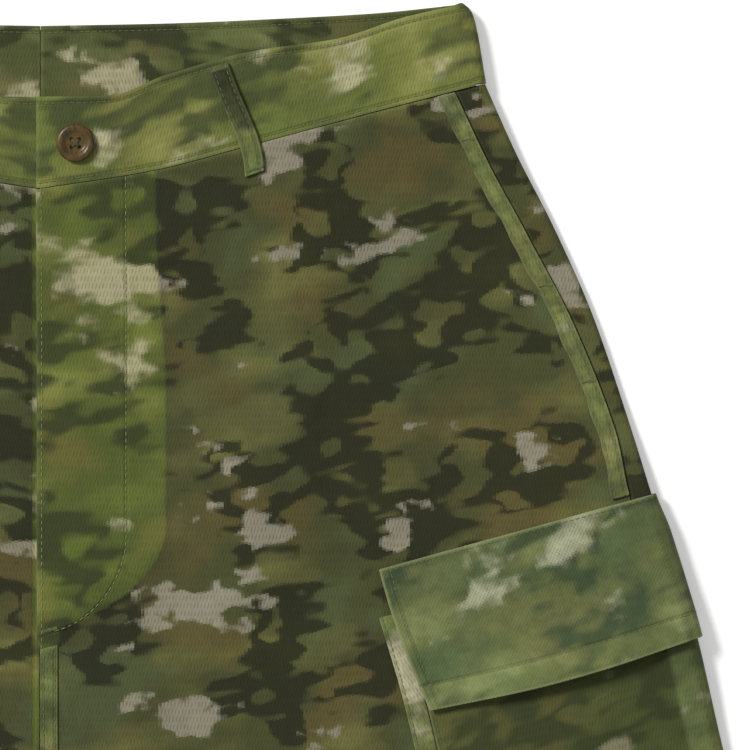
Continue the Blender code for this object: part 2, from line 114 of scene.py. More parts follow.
BandFold = namedtuple("BandFold", "across x")
BAND_FOLD = (BandFold(0.0, 198.0), BandFold(0.1, 201.8), BandFold(0.25, 203.8), BandFold(1.0, 208.7))
SideSeam = namedtuple("SideSeam", "down inset")
SIDE_SEAM = (SideSeam(0.0, 14.0), SideSeam(73.5, 12.5), SideSeam(120.0, 9.5), SideSeam(174.0, 6.8),
             SideSeam(209.0, 9.5), SideSeam(478.0, 10.0))
SIDE_BAND_WIDTH = 9.5

print("pattern rows:", len(LEG_ROWS), "hem at", HEM_DOWN, "mm down the side")

# %% Sizes of the sewn-on pieces
FLY_EDGE_X = -1.5           # the left front laps this far over the centre
FLY_OVERLAP_DOWN = 196.0    # and does so down to here
FACING_WIDTH = 43.0
SHIELD_WIDTH = 59.0
SHIELD_INSIDE = -12.0
FLY_STRAIGHT_DOWN = 166.0   # the fly's pieces run straight down to here, then round in to a foot
FLY_FOOT_DOWN = 197.0       # a little higher than the foot of the solids
FLY_FOOT_WIDTH = 8.0

FLAP_DOWN = (209.0, 279.0)  # from its seam to its free edge
FLAP_EDGE_INSET = (132.5, 128.6)    # its front edge, at both of these
FLAP_HEM = 12.0             # width of its turned hem
POCKET_DOWN = (230.6, 409.0)        # from its mouth to its foot
POCKET_EDGE_INSET = 129.2
GUSSET_WIDTH = 10.0
WRAP_POCKET = 32.0          # how far the pocket runs on behind the fold
WRAP_FLAP = 40.0            # and the flap

TURN_FRONT = 2.4            # the front face ends this far in from the side fold
TURN_BACK = 4.6             # and the back face begins this far in
LAYER_LIFT = CLOTH + SEAM_GAP
FLAP_LIFT = FLAP_CLOTH + SEAM_GAP
UNDER_POCKET = (226.0, 413.0, 55.0)     # the pocket lifts the back from here to here; then the slope's length
UNDER_FLAP = (205.0, 283.0, 55.0)       # the same for the flap
LIFT_INSET = (50.0, 110.0)  # both lifts die away between these distances in from the fold
FACING_PAD = (110.0, 170.0)     # the left front comes down from the fly's layers between these x
SHIELD_PAD = (40.0, 100.0)      # and the right front between these
FLY_PAD_DOWN = (220.0, 300.0)   # below the fly both come down between these
FLY_PAD_DRAW_IN = 0.15      # the left rise draws in towards the centre down the leg
LOOP_WIDTH = 9.5
LOOP_ARCH = 0.5             # how far a front loop stands off the waistband at its middle
LOOP_STEP = 0.82            # part of its length at which it reaches the waistband's seam

BeltLoop = namedtuple("BeltLoop", "top_x top_depth foot_x foot_depth")
FRONT_LOOP = BeltLoop(84.1, 29.5, 101.0, 80.5)
BACK_LOOP = BeltLoop(118.0, 8.5, 121.0, 61.0)
CENTRE_LOOP = BeltLoop(0.0, 12.2, 0.0, 68.0)

Swell = namedtuple("Swell", "x depth half_width half_length lean height")
SWELLS = (
    Swell(142.0, 150.0, 26.0, 62.0, 22.0, 1.3),
    Swell(92.0, 300.0, 30.0, 70.0, -12.0, 1.2),
    Swell(120.0, 470.0, 24.0, 55.0, 20.0, 1.1),
)
print("flap, mm:", FLAP_DOWN[1] - FLAP_DOWN[0], "pocket, mm:", round(POCKET_DOWN[1] - POCKET_DOWN[0], 1))

# %% [markdown]
# ## Reading the pattern smoothly
# The solids join these lines with flat facets. Real cloth runs through them in a smooth curve, so the
# tables are read here by a cubic that never overshoots its values. NumPy reads thousands of places in one
# go, which keeps the whole garment quick to make.

# %% Smooth reading and soft steps
def read(table, column, at):
    """Values of a table's column at one place or many, by a smooth curve that never overshoots."""
    places = np.array([row[0] for row in table], float)
    values = np.array([getattr(row, column) for row in table], float)
    at = np.asarray(at, float)
    spans = np.diff(places)
    slopes = np.diff(values) / spans
    same_way = slopes[:-1] * slopes[1:] > 0
    together = np.where(same_way, slopes[:-1] + slopes[1:], 1.0)
    inner = np.where(same_way, 2 * slopes[:-1] * slopes[1:] / together, 0.0)
    tangents = np.concatenate([slopes[:1], inner, slopes[-1:]])
    i = np.clip(np.searchsorted(places, at, side="right") - 1, 0, len(spans) - 1)
    t = np.clip((at - places[i]) / spans[i], 0.0, 1.0)
    start = values[i] * (1 + 2 * t) * (1 - t) ** 2 + tangents[i] * spans[i] * t * (1 - t) ** 2
    end = values[i + 1] * t * t * (3 - 2 * t) + tangents[i + 1] * spans[i] * t * t * (t - 1)
    return np.where(at <= places[0], values[0] + slopes[0] * (at - places[0]), start + end)


def fade(value, full, gone):
    """1 up to full, 0 from gone on, and a smooth slope between."""
    t = np.clip((np.asarray(value, float) - full) / (gone - full), 0.0, 1.0)
    return 1 - t * t * (3 - 2 * t)


def between(value, start, end, ramp):
    """1 from start to end, with a smooth slope of length ramp outside both."""
    return fade(value, end, end + ramp) * fade(-np.asarray(value, float), -start, ramp - start)


print("fold at hip height, mm from the centre:", round(float(read(LEG_ROWS, "fold_x", 73.5)), 1))

# %% [markdown]
# ## Creases
# Thin cloth that is laid by hand never lies quite flat. It pulls in long soft ridges from the places that
# hold it, which are the fly's foot, the crotch, the belt loops and the side seam. A cloth simulation would
# place such folds by chance, so they are listed here: each row of a table is one ridge with its own
# length, width, lean, bow and height. A few were pressed in through both layers, front and back.

# %% Tables of creases
Crease = namedtuple("Crease", "x depth length width lean bow height")
LEFT_CREASES = (
    Crease(74.0, 246.0, 118.0, 6.5, -62.0, 9.0, 0.95),
    Crease(96.0, 286.0, 150.0, 8.0, -55.0, -12.0, 0.85),
    Crease(58.0, 322.0, 96.0, 5.5, -44.0, 7.0, 0.75),
    Crease(70.0, 372.0, 110.0, 7.5, -24.0, -8.0, 0.9),
    Crease(112.0, 128.0, 84.0, 6.0, 10.0, 6.0, 0.8),
    Crease(92.0, 150.0, 120.0, 8.5, 4.0, -7.0, 0.6),
    Crease(190.0, 112.0, 96.0, 7.0, 38.0, 10.0, 0.9),
    Crease(215.0, 150.0, 70.0, 5.0, 56.0, -6.0, 0.7),
    Crease(206.0, 196.0, 92.0, 6.5, 64.0, 8.0, 0.8),
    Crease(150.0, 232.0, 88.0, 9.0, -72.0, 7.0, 0.7),
    Crease(122.0, 196.0, 78.0, 5.5, -34.0, -6.0, 0.55),
    Crease(112.0, 440.0, 130.0, 8.0, 10.0, 9.0, 0.9),
    Crease(146.0, 500.0, 88.0, 6.0, 16.0, -7.0, 0.8),
    Crease(214.0, 498.0, 96.0, 8.0, 6.0, 8.0, 0.8),
    Crease(290.0, 470.0, 70.0, 6.0, 14.0, -5.0, 0.6),
)
RIGHT_CREASES = (
    Crease(66.0, 252.0, 108.0, 7.0, -58.0, -9.0, 0.9),
    Crease(104.0, 300.0, 138.0, 7.5, -60.0, 11.0, 0.8),
    Crease(54.0, 336.0, 84.0, 6.0, -38.0, -6.0, 0.7),
    Crease(84.0, 390.0, 124.0, 8.0, -18.0, 9.0, 0.9),
    Crease(120.0, 134.0, 92.0, 6.5, 14.0, -7.0, 0.8),
    Crease(64.0, 160.0, 100.0, 8.0, -4.0, 6.0, 0.65),
    Crease(182.0, 126.0, 104.0, 7.5, 34.0, -9.0, 0.9),
    Crease(220.0, 172.0, 76.0, 5.5, 60.0, 6.0, 0.75),
    Crease(166.0, 214.0, 96.0, 8.5, -76.0, -8.0, 0.7),
    Crease(124.0, 462.0, 116.0, 7.0, 12.0, -8.0, 0.9),
    Crease(196.0, 506.0, 84.0, 7.0, 4.0, 7.0, 0.8),
    Crease(282.0, 482.0, 78.0, 6.5, 18.0, 6.0, 0.65),
)
PRESSED_CREASES = (
    Crease(118.0, 262.0, 128.0, 5.0, -66.0, 8.0, 0.8),
    Crease(52.0, 398.0, 92.0, 4.5, -30.0, -6.0, 0.7),
    Crease(176.0, 168.0, 112.0, 5.5, 30.0, 9.0, 0.75),
    Crease(132.0, 476.0, 104.0, 5.0, 12.0, 7.0, 0.7),
    Crease(236.0, 512.0, 72.0, 4.5, 8.0, -5.0, 0.6),
    Crease(60.0, 176.0, 104.0, 5.0, 8.0, -7.0, 0.6),
    Crease(196.0, 300.0, 96.0, 6.0, -74.0, 6.0, 0.5),
)


def creases(table, x, depth):
    """Height of a table's ridges at many places."""
    total = np.zeros(np.broadcast(x, depth).shape)
    for one in table:
        angle = math.radians(one.lean)
        along = (depth - one.depth) * math.cos(angle) + (x - one.x) * math.sin(angle)
        part = np.clip(along / (one.length / 2), -1.0, 1.0)
        across = (x - one.x) * math.cos(angle) - (depth - one.depth) * math.sin(angle) - one.bow * part ** 2
        total += one.height * np.exp(-(across / one.width) ** 2) * (1 - part ** 2) ** 2
    return total


def swell(x, depth):
    """Height of the broad swells at many places on the front."""
    total = np.zeros(np.broadcast(x, depth).shape)
    for one in SWELLS:
        angle = math.radians(one.lean)
        along = (depth - one.depth) * math.cos(angle) + (x - one.x) * math.sin(angle)
        across = (x - one.x) * math.cos(angle) - (depth - one.depth) * math.sin(angle)
        total += one.height * np.exp(-(across / one.half_width) ** 2 - (along / one.half_length) ** 2)
    return total


def pucker(distance, along, spacing, height, reach):
    """Small waves that a seam draws into cloth, dying away with distance from it."""
    wander = 1.9 * np.sin(along / (spacing * 2.7)) + 1.1 * np.sin(along / (spacing * 1.3) + 2.0)
    wave = 0.5 + 0.5 * np.sin(2 * math.pi * along / spacing + wander)
    swing = 0.6 + 0.4 * np.sin(along / (spacing * 4.1) + 1.0)
    return height * wave * swing * np.exp(-np.abs(distance) / reach)


print("creases:", len(LEFT_CREASES), "left,", len(RIGHT_CREASES), "right,", len(PRESSED_CREASES), "pressed")

# %% [markdown]
# ## The leg as a flattened tube
# A trouser leg on a table is a tube pressed flat. Its skin goes over the front, round the side fold and
# back underneath, so a place on it is a distance down the side, a face, and a distance in from the fold.
# Every piece sewn on the leg uses the same function, moved outwards, so that it follows the leg exactly.

# %% Places on the leg
def leg_row(down, face):
    """Ends of the line across the leg: inner x and depth, then fold x and depth."""
    return (read(LEG_ROWS, "inner_x", down), read(LEG_ROWS, face + "_depth", down),
            read(LEG_ROWS, "fold_x", down), read(LEG_ROWS, "fold_depth", down))


def on_row(down, face, inset):
    """Plan position (x, depth) at a distance in from the side fold, along the row."""
    inner_x, inner_depth, fold_x, fold_depth = leg_row(down, face)
    part = 1 - inset / np.hypot(fold_x - inner_x, fold_depth - inner_depth)
    x = inner_x + (fold_x - inner_x) * part
    depth = inner_depth + (fold_depth - inner_depth) * part
    if face == "front":
        seam_part = np.clip(part, 0.0, 1.0)
        straight = WAIST_ROW.front_depth + (WAIST_ROW.fold_depth - WAIST_ROW.front_depth) * seam_part
        sag = read(FRONT_SEAM, "depth", seam_part * WAIST_ROW.fold_x) - straight
        depth = depth + sag * fade(down, 0.0, SEAM_SAG_REACH)
    return x, depth


def inset_of_x(down, face, x):
    """The inset along a row at which it crosses a given x."""
    inner_x, inner_depth, fold_x, fold_depth = leg_row(down, face)
    return (fold_x - x) / (fold_x - inner_x) * np.hypot(fold_x - inner_x, fold_depth - inner_depth)


print("the fold at the hip, mm:", [round(float(value), 1) for value in on_row(73.5, "front", 0.0)])

# %% Heights of the layers
def back_low(down, inset):
    """Underside of the back layer: it is lifted by the loops, pocket and flap that lie under it."""
    loops = LAYER_LIFT * fade(down, 15.0, 85.0)
    pocket = LAYER_LIFT * between(down, *UNDER_POCKET)
    flap = FLAP_LIFT * between(down, *UNDER_FLAP)
    return loops + (pocket + flap) * fade(inset, *LIFT_INSET)


def front_base(down, inset):
    """Underside of the front layer where nothing lies between it and the back."""
    back_cloth = CLOTH + (BAND_CLOTH - CLOTH) * fade(down, 10.0, 60.0)
    return back_low(down, inset) + back_cloth + LAYER_GAP + FOLD_PUFF * fade(inset, 0.0, PUFF_REACH)


def fly_pad(side, down, x):
    """Extra height of a front over the fly pieces."""
    if side > 0:
        full, gone = FACING_PAD
        drawn_in = FLY_PAD_DRAW_IN * np.minimum(down, FLAP_DOWN[0])
        return 2 * LAYER_LIFT * fade(x, full - drawn_in, gone - drawn_in) * fade(down, *FLY_PAD_DOWN)
    return LAYER_LIFT * fade(x, *SHIELD_PAD) * fade(down, *FLY_PAD_DOWN)


def fly_edge_x(width, down):
    """The fly pieces' free edge: straight, then rounding in to a narrow foot."""
    part = np.clip((down - FLY_STRAIGHT_DOWN) / (FLY_FOOT_DOWN - FLY_STRAIGHT_DOWN), 0.0, 1.0)
    return FLY_FOOT_WIDTH + (width - FLY_FOOT_WIDTH) * np.sqrt(1 - part * part)


def beyond_fly(width, down, x):
    """Distance outside a fly piece's free edge, negative over the piece itself."""
    outside = x - fly_edge_x(width, down)
    return np.where(down > FLY_FOOT_DOWN, np.maximum(outside, 0) + down - FLY_FOOT_DOWN, outside)


def shown_shield(down):
    """Width of the lighter panel over the fly: the shield's, drawn in a little towards the waist."""
    return SHIELD_WIDTH - 4.5 * fade(down, 20.0, 110.0)


print("under the front at the hip, mm:", round(float(front_base(73.5, 100.0)), 1))

# %% Skin of the leg
SHIELD_STEP = 0.45          # the front stands this much higher over the fly's shield
FACING_STEP = 0.3           # over its facing
HEM_STEP = 0.55             # over the turned-up hem
WAIST_STEP = 0.85           # and over the seam that joins it to the waistband
HEM_FOLD = 25.0             # width of the hem


def front_relief(side, down, inset, x, depth):
    """What the cloth of the front adds to its even lie: creases, puckers and doubled layers."""
    free = 1 - fade(inset, 2.0, 16.0)
    total = creases(LEFT_CREASES if side > 0 else RIGHT_CREASES, x, depth) * free
    total += pucker(down, x, 9.0, 0.4, 7.0)
    seam = read(SIDE_SEAM, "inset", down) + SIDE_BAND_WIDTH
    total += pucker(inset - seam, down, 11.0, 0.35, 6.0) * fade(down, 180.0, 215.0)
    beside = inset - read(SIDE_SEAM, "inset", down)
    rolled = 0.55 * np.exp(-((beside - SIDE_BAND_WIDTH / 2) / 5.5) ** 2)
    hollow = 0.4 * np.exp(-((beside + 3.5) / 2.6) ** 2)
    total += (rolled - hollow) * fade(down, 196.0, 218.0) * free
    total += WAIST_STEP * fade(down, 0.0, 11.0) * (1 - fade(inset - seam, 0.5, 9.0))
    if side > 0:
        total += SHIELD_STEP * fade(beyond_fly(shown_shield(down), down, x), -1.0, 1.4)
        total += FACING_STEP * fade(beyond_fly(FACING_WIDTH, down, x), -1.0, 1.4)
        total += pucker(beyond_fly(FACING_WIDTH, down, x) + 2.5, depth, 8.0, 0.22, 5.0)
    total += HEM_STEP * fade(-down, HEM_FOLD - HEM_DOWN - 1.0, HEM_FOLD - HEM_DOWN + 1.5)
    total += pucker(down - HEM_DOWN + HEM_FOLD, x - depth * 0.5, 10.0, 0.35, 7.0)
    return total


def pressed_rise(down, inset, x, depth):
    """Creases pressed through both layers; they fade out at the fold and at the waist."""
    return creases(PRESSED_CREASES, x, depth) * (1 - fade(inset, 4.0, 30.0)) * (1 - fade(down, 10.0, 40.0))


def front_middle(side, down, inset):
    x, depth = on_row(down, "front", inset)
    even = front_base(down, inset) + fly_pad(side, down, x) + swell(x, depth) + CLOTH / 2
    return even + front_relief(side, down, inset, x, depth) + pressed_rise(down, inset, x, depth)


def back_middle(down, inset):
    x, depth = on_row(down, "back", inset)
    return back_low(down, inset) + CLOTH / 2 + pressed_rise(down, inset, x, depth)


def leg_skin(side, down, face, value, out=0.0):
    """Points of the leg; value is a distance in from the fold, or the angle round the fold.

    out moves them off the middle of the cloth, away from the leg's inside.
    """
    down = np.broadcast_to(down, np.broadcast(down, value).shape)
    if face == "fold":
        low = back_middle(down, 0.0)
        high = front_middle(side, down, 0.0)
        radius = (high - low) / 2
        angle = np.radians(value)
        x, depth = on_row(down, "front", radius - (radius + out) * np.cos(angle))
        return side * x, depth, (high + low) / 2 + (radius + out) * np.sin(angle)
    x, depth = on_row(down, face, value)
    if face == "front":
        return side * x, depth, front_middle(side, down, value) + out
    return side * x, depth, back_middle(down, value) - out


hip_fold = front_middle(1, 73.5, 0.0) - back_middle(73.5, 0.0)
print("height of the hip's fold, mm:", round(float(hip_fold), 1))

# %% [markdown]
# ## Making one sheet of cloth
# Each piece is a fine net of points. A Solidify modifier gives it the thickness of its cloth and a small
# Bevel rounds its raw edges, as turned cloth is round. With the net go a few facts for the materials: a UV
# map named "cut", which says from which place of the cloth the piece was cut, the distance to each row of
# stitching, the distance to the edge of doubled cloth and the distance to the piece's own rim.

# %% Sheets from nets of points
FINE = 2.3                  # spacing of a net's points
FAR = 60.0                  # a distance that means "not near"
EDGE_ROUND = 0.42           # rounding of a cloth edge
EDGE_ANGLE = 50.0           # only the rim of a sheet turns as sharply as this, so only it is rounded


def steps(start, end, spacing=FINE):
    """Evenly spaced values from start to end, about a spacing apart."""
    return np.linspace(start, end, max(int(round(abs(end - start) / spacing)), 1) + 1)


def join_columns(*nets):
    """Nets side by side: each is a dict of arrays with the same rows."""
    return {key: np.concatenate([net[key] for net in nets], axis=1) for key in nets[0]}


def net(points, across, along, stitch_a=FAR, stitch_b=FAR, doubled=FAR):
    """A net: its points in layout millimetres, its place in the cut cloth, and the material's facts."""
    x, depth, z = points
    facts = {"x": x, "depth": depth, "z": z, "across": across, "along": along,
             "stitch_a": stitch_a, "stitch_b": stitch_b, "doubled": doubled}
    return {key: np.broadcast_to(np.asarray(value, float), z.shape) for key, value in facts.items()}


def rim_distance(co):
    """How far each point of the net lies from the sheet's edges, along the cloth."""
    down = np.linalg.norm(np.diff(co, axis=0), axis=2)
    down = np.concatenate([np.zeros((1, co.shape[1])), np.cumsum(down, axis=0)])
    along = np.linalg.norm(np.diff(co, axis=1), axis=2)
    along = np.concatenate([np.zeros((co.shape[0], 1)), np.cumsum(along, axis=1)], axis=1)
    far = np.full(down.shape, FAR * MM)
    return np.minimum.reduce([down, down[-1:] - down, along, along[:, -1:] - along, far])


def placed(name, data):
    """A new object in the scene."""
    made = bpy.data.objects.new(name, data)
    bpy.context.scene.collection.objects.link(made)
    return made


def cloth_piece(name, layout, thickness, material, place_in_cloth):
    """A sheet of cloth from a net, with a wall, round edges and the facts its material reads."""
    co = np.stack([layout["x"] * MM, (DEPTH_MIDDLE - layout["depth"]) * MM, layout["z"] * MM], axis=-1)
    rows, columns = co.shape[:2]
    index = np.arange(rows * columns).reshape(rows, columns)
    corners = [index[:-1, :-1], index[1:, :-1], index[1:, 1:], index[:-1, 1:]]
    quads = np.stack(corners, axis=-1).reshape(-1, 4)
    mesh = bpy.data.meshes.new(name)
    mesh.from_pydata(co.reshape(-1, 3).tolist(), [], quads.tolist())
    cut_x = layout["across"] * MM + place_in_cloth[0]
    cut_y = place_in_cloth[1] - layout["along"] * MM
    cut = np.stack([cut_x, cut_y], axis=-1)
    uv = mesh.uv_layers.new(name="cut")
    uv.data.foreach_set("uv", cut.reshape(-1, 2)[quads.reshape(-1)].astype(np.float32).ravel())
    for fact in ("stitch_a", "stitch_b", "doubled"):
        values = mesh.attributes.new(fact, "FLOAT", "POINT")
        values.data.foreach_set("value", np.ascontiguousarray(layout[fact], np.float32).ravel())
    rim = mesh.attributes.new("rim", "FLOAT", "POINT")
    rim.data.foreach_set("value", (rim_distance(co) / MM).astype(np.float32).ravel())
    mesh.polygons.foreach_set("use_smooth", np.ones(len(quads), bool))
    mesh.materials.append(material)
    piece = placed(name, mesh)
    wall = piece.modifiers.new("cloth wall", "SOLIDIFY")
    wall.thickness = thickness * MM
    wall.offset = 0.0
    rounding = piece.modifiers.new("round edges", "BEVEL")
    rounding.width = EDGE_ROUND * MM
    rounding.segments = 2
    rounding.limit_method = "ANGLE"
    rounding.angle_limit = math.radians(EDGE_ANGLE)
    return piece


print("net spacing, mm:", FINE)

# %% [markdown]
# ## Sums for materials and node trees
# Shader and geometry nodes are wired here by writing sums. Link holds one output socket, and its operators
# add the Math node that a sum needs, also when a plain number stands first, as in 1 - mask. Bench adds
# every other kind of node through one method, which takes the node's type, its settings and its inputs.

# %% Sums of sockets
class Link:
    """An output socket that takes part in sums."""

    def __init__(self, bench, socket):
        self.bench = bench
        self.socket = socket

    def maths(self, operation, first, second=0.0):
        return self.bench.node("ShaderNodeMath", {"operation": operation}, {0: first, 1: second})

    def __add__(self, other):
        return self.maths("ADD", self, other)

    def __radd__(self, other):
        return self.maths("ADD", other, self)

    def __sub__(self, other):
        return self.maths("SUBTRACT", self, other)

    def __rsub__(self, other):
        return self.maths("SUBTRACT", other, self)

    def __mul__(self, other):
        return self.maths("MULTIPLY", self, other)

    def __rmul__(self, other):
        return self.maths("MULTIPLY", other, self)

    def __truediv__(self, other):
        return self.maths("DIVIDE", self, other)

    def floor(self):
        return self.maths("FLOOR", self)

    def cosine(self):
        return self.maths("COSINE", self)

    def size(self):
        return self.maths("ABSOLUTE", self)

    def larger(self, other):
        return self.maths("MAXIMUM", self, other)

    def smaller(self, other):
        return self.maths("MINIMUM", self, other)


print("besides sums, a socket can do:", [name for name in vars(Link) if not name.startswith("__")])

# %% A bench that wires nodes
class Bench:
    """A node tree that is being wired."""

    def __init__(self, tree):
        self.tree = tree

    def node(self, kind, settings=None, inputs=None, output=0):
        """Add a node: its settings first, then values or links for its inputs; give one output back."""
        made = self.tree.nodes.new(kind)
        for name, value in (settings or {}).items():
            setattr(made, name, value)
        for key, value in (inputs or {}).items():
            self.feed(made.inputs[key], value)
        return Link(self, made.outputs[output])

    def feed(self, socket, value):
        if isinstance(value, Link):
            self.tree.links.new(value.socket, socket)
        else:
            socket.default_value = value

    def soft_step(self, value, start, end):
        """0 below start, 1 above end, and a smooth slope between."""
        return self.node("ShaderNodeMapRange", {"interpolation_type": "SMOOTHSTEP"},
                         {"Value": value, "From Min": start, "From Max": end})

    def blend(self, factor, first, second):
        """One colour turning into another."""
        return self.node("ShaderNodeMix", {"data_type": "RGBA"}, {0: factor, 6: first, 7: second}, 2)

    def scaled(self, colour, shade):
        """A colour made lighter or darker."""
        return self.node("ShaderNodeVectorMath", {"operation": "SCALE"}, {0: colour, "Scale": shade})

    def bump(self, height, strength, distance):
        """A normal tilted as if the surface had this height."""
        return self.node("ShaderNodeBump", None,
                         {"Height": height, "Strength": strength, "Distance": distance})

    def parts(self, vector):
        """The x, y and z of a vector."""
        split = self.node("ShaderNodeSeparateXYZ", None, {0: vector}).socket.node
        return [Link(self, output) for output in split.outputs]

    def fill(self, shader, inputs):
        """Values or links for a shader's inputs, by their names."""
        for name, value in inputs.items():
            self.feed(shader.inputs[name], value)

    def noise(self, across, along, seed, detail=2.0, roughness=0.5):
        """Cloudy values round 0.5, from two coordinates counted in clouds."""
        where = self.node("ShaderNodeCombineXYZ", None, {0: across, 1: along, 2: seed})
        return self.node("ShaderNodeTexNoise", None,
                         {"Vector": where, "Scale": 1.0, "Detail": detail, "Roughness": roughness})

    def chance(self, across, along, seed):
        """An even chance from 0 to 1 for each place."""
        where = self.node("ShaderNodeCombineXYZ", None, {0: across, 1: along, 2: seed})
        return self.node("ShaderNodeTexWhiteNoise", {"noise_dimensions": "3D"}, {"Vector": where})


def new_material(name):
    """A material, the bench that wires its nodes, and its shader."""
    material = bpy.data.materials.new(name)
    material.use_nodes = True
    return material, Bench(material.node_tree), material.node_tree.nodes["Principled BSDF"]


def tone(code):
    """A colour written as six hex digits, turned into the linear values that shaders use."""
    parts = [int(code[i:i + 2], 16) / 255 for i in (0, 2, 4)]
    return tuple(((p + 0.055) / 1.055) ** 2.4 if p > 0.04045 else p / 12.92 for p in parts) + (1.0,)


print("olive in linear values:", [round(v, 3) for v in tone("505032")])

# %% [markdown]
# ## The camouflage cloth
# The cloth is a light mesh with a woven camouflage of olive, brown and near-black green, with a few pale
# patches. Painting it by hand would freeze one layout, so noise draws it: each colour lies where its own
# cloudy field passes a limit, and the near-black blots have holes where one more field does. The fields are
# read at the middle of small cells that stand in columns. Every other column is half a cell lower, and
# chance pushes each a little further, which gives the patches the stepped, ragged edges of a woven pattern.
# Where the cloth is doubled the same pattern shows lighter, greener and softer. Two crossing waves make the
# mesh's slanting dashes, and a last noise mottles the whole, as washing does.

# %% Tones of the cloth
Palette = namedtuple("Palette", "dark deep olive brown leaf light pale")
BODY_TONES = Palette("20220f", "434526", "52532d", "5c512b", "4b5635", "686738", "87826e")
DOUBLED_TONES = Palette("323a1d", "4f5927", "666c31", "6d6632", "5f6d2a", "808442", "a6a17b")
BAND_TONES = Palette("404727", "606833", "73773a", "7a763e", "6b7737", "909154", "b2ae88")
LINING_TONES = Palette("2f341c", "4b512c", "5f6239", "665f37", "596236", "7d7d51", "a19c7a")
POCKET_TONES = Palette("30361b", "404724", "4e5229", "56522b", "495628", "5c6035", "747055")
FLAP_TONES = Palette("39462d", "4c5835", "5f653b", "66673b", "556640", "747b4d", "9b9d7f")
STRIP_TONES = Palette("4a5230", "68703e", "7b8049", "7e7a48", "6e7d44", "8d9262", "b2ae8c")
HEM_TONES = Palette("485332", "5c663c", "6a7244", "717443", "657444", "808757", "a3a682")
RIM_HIGHLIGHT_TONE = "8a9163"        # painted highlight: a sheet's rim is lightened towards this, as a rounded edge catching the light
print("tones in a palette:", len(BODY_TONES))

# %% Fields and masks of the camouflage
CELL_WIDE = 1.62            # one woven cell of the pattern, in millimetres
CELL_HIGH = 1.1
CELL_SHIFT = 0.5            # how far chance may push a column of cells up or down
GRAIN_LEAN = math.radians(11.0)     # the patches are drawn out along a line that rises by this much

Clouds = namedtuple("Clouds", "wide high seed detail roughness")        # millimetres across and along
FIELDS = {
    "wander": Clouds(12.0, 8.0, 5.0, 1.0, 0.5),         # pushes whole cells aside
    "lobes": Clouds(44.0, 38.0, 11.3, 1.6, 0.5),        # near-black blots
    "bars": Clouds(20.0, 6.5, 27.1, 0.6, 0.4),          # and their drawn-out edges
    "chips": Clouds(17.0, 11.0, 53.2, 0.6, 0.4),        # holes in the blots
    "middle": Clouds(44.0, 26.0, 41.7, 1.8, 0.5),       # deep and light greens
    "warmth": Clouds(52.0, 40.0, 63.9, 2.0, 0.5),       # brown and leaf green
    "islands": Clouds(50.0, 31.0, 87.2, 1.6, 0.5),      # pale patches
    "specks": Clouds(9.0, 6.5, 95.4, 1.0, 0.5),         # and their ragged edges
    "uneven": Clouds(1.6, 4.5, 17.0, 1.0, 0.5),         # strength of the mesh
    "drift": Clouds(70.0, 90.0, 121.0, 2.0, 0.5),       # broad fading
    "blotches": Clouds(8.0, 6.0, 133.0, 2.0, 0.6),      # mottle
    "lumps": Clouds(14.0, 19.0, 140.0, 3.0, 0.55),      # unevenness of the surface
}
BLOT_LIMIT = 0.545
HOLE_LIMIT = 0.592
PALE_LIMIT = 0.621


def clouds(bench, name, across, along):
    """One of the cloudy fields at a place: values round 0.5."""
    field = FIELDS[name]
    return bench.noise(across / field.wide, along / field.high, field.seed, field.detail, field.roughness)


def cell_centre(bench, across, along):
    """The middle of the woven cell that a place lies in; every other column is half a cell lower."""
    wander = (clouds(bench, "wander", across, along) - 0.5) * 8.0
    column = (across / CELL_WIDE).floor()
    odd = column.maths("MODULO", column.size(), 2.0) * (CELL_HIGH / 2)
    offset = odd + (bench.chance(column, 0.0, 3.0) - 0.5) * CELL_SHIFT
    row = ((along + offset) / CELL_HIGH).floor()
    return column * CELL_WIDE + wander, row * CELL_HIGH - offset


def camouflage(bench, across, along, softness):
    """Masks of the pattern at a place in the cloth: dark, deep, brown, leaf, light and pale."""
    cell_x, cell_y = cell_centre(bench, across, along)
    x = cell_x * math.cos(GRAIN_LEAN) + cell_y * math.sin(GRAIN_LEAN)
    y = cell_y * math.cos(GRAIN_LEAN) - cell_x * math.sin(GRAIN_LEAN)
    lobes, bars, chips, middle, islands, specks = (
        clouds(bench, name, x, y) for name in ("lobes", "bars", "chips", "middle", "islands", "specks"))
    warmth = clouds(bench, "warmth", across, along)
    blot = bench.soft_step(lobes * 0.8 + bars * 0.24, BLOT_LIMIT - softness, BLOT_LIMIT + softness)
    hole = bench.soft_step(lobes * 0.45 + chips * 0.55, HOLE_LIMIT - softness, HOLE_LIMIT + softness)
    pale = bench.soft_step(islands * 0.82 + specks * 0.2, PALE_LIMIT - softness, PALE_LIMIT + softness)
    deep = bench.soft_step(middle, 0.45 - softness * 2.0, 0.49 + softness * 2.0)
    light = bench.soft_step(middle * -1.0, -0.40 - softness, -0.31 + softness)
    brown = bench.soft_step(warmth, 0.5, 0.66)
    leaf = bench.soft_step(warmth * -1.0, -0.46, -0.32)
    return Palette(blot * (1.0 - hole), deep, None, brown, leaf, light, pale)


print("cloudy fields:", len(FIELDS))

# %% Cloth finishes
Waves = namedtuple("Waves", "slant_x slant_y cross_x cross_y")     # turns per millimetre
BODY_MESH = Waves(0.617, -0.21, 0.617, 0.07)
DOUBLED_MESH = Waves(0.55, -0.5, 0.56, 0.52)


def paint(bench, masks, palette):
    """A palette laid through the pattern's masks."""
    ground = bench.blend(masks.deep, tone(palette.olive), tone(palette.deep))
    ground = bench.blend(masks.brown * 0.6, ground, tone(palette.brown))
    ground = bench.blend(masks.leaf * 0.6, ground, tone(palette.leaf))
    ground = bench.blend(masks.light * 0.8, ground, tone(palette.light))
    ground = bench.blend(masks.dark * 0.9, ground, tone(palette.dark))
    return bench.blend(masks.pale, ground, tone(palette.pale))


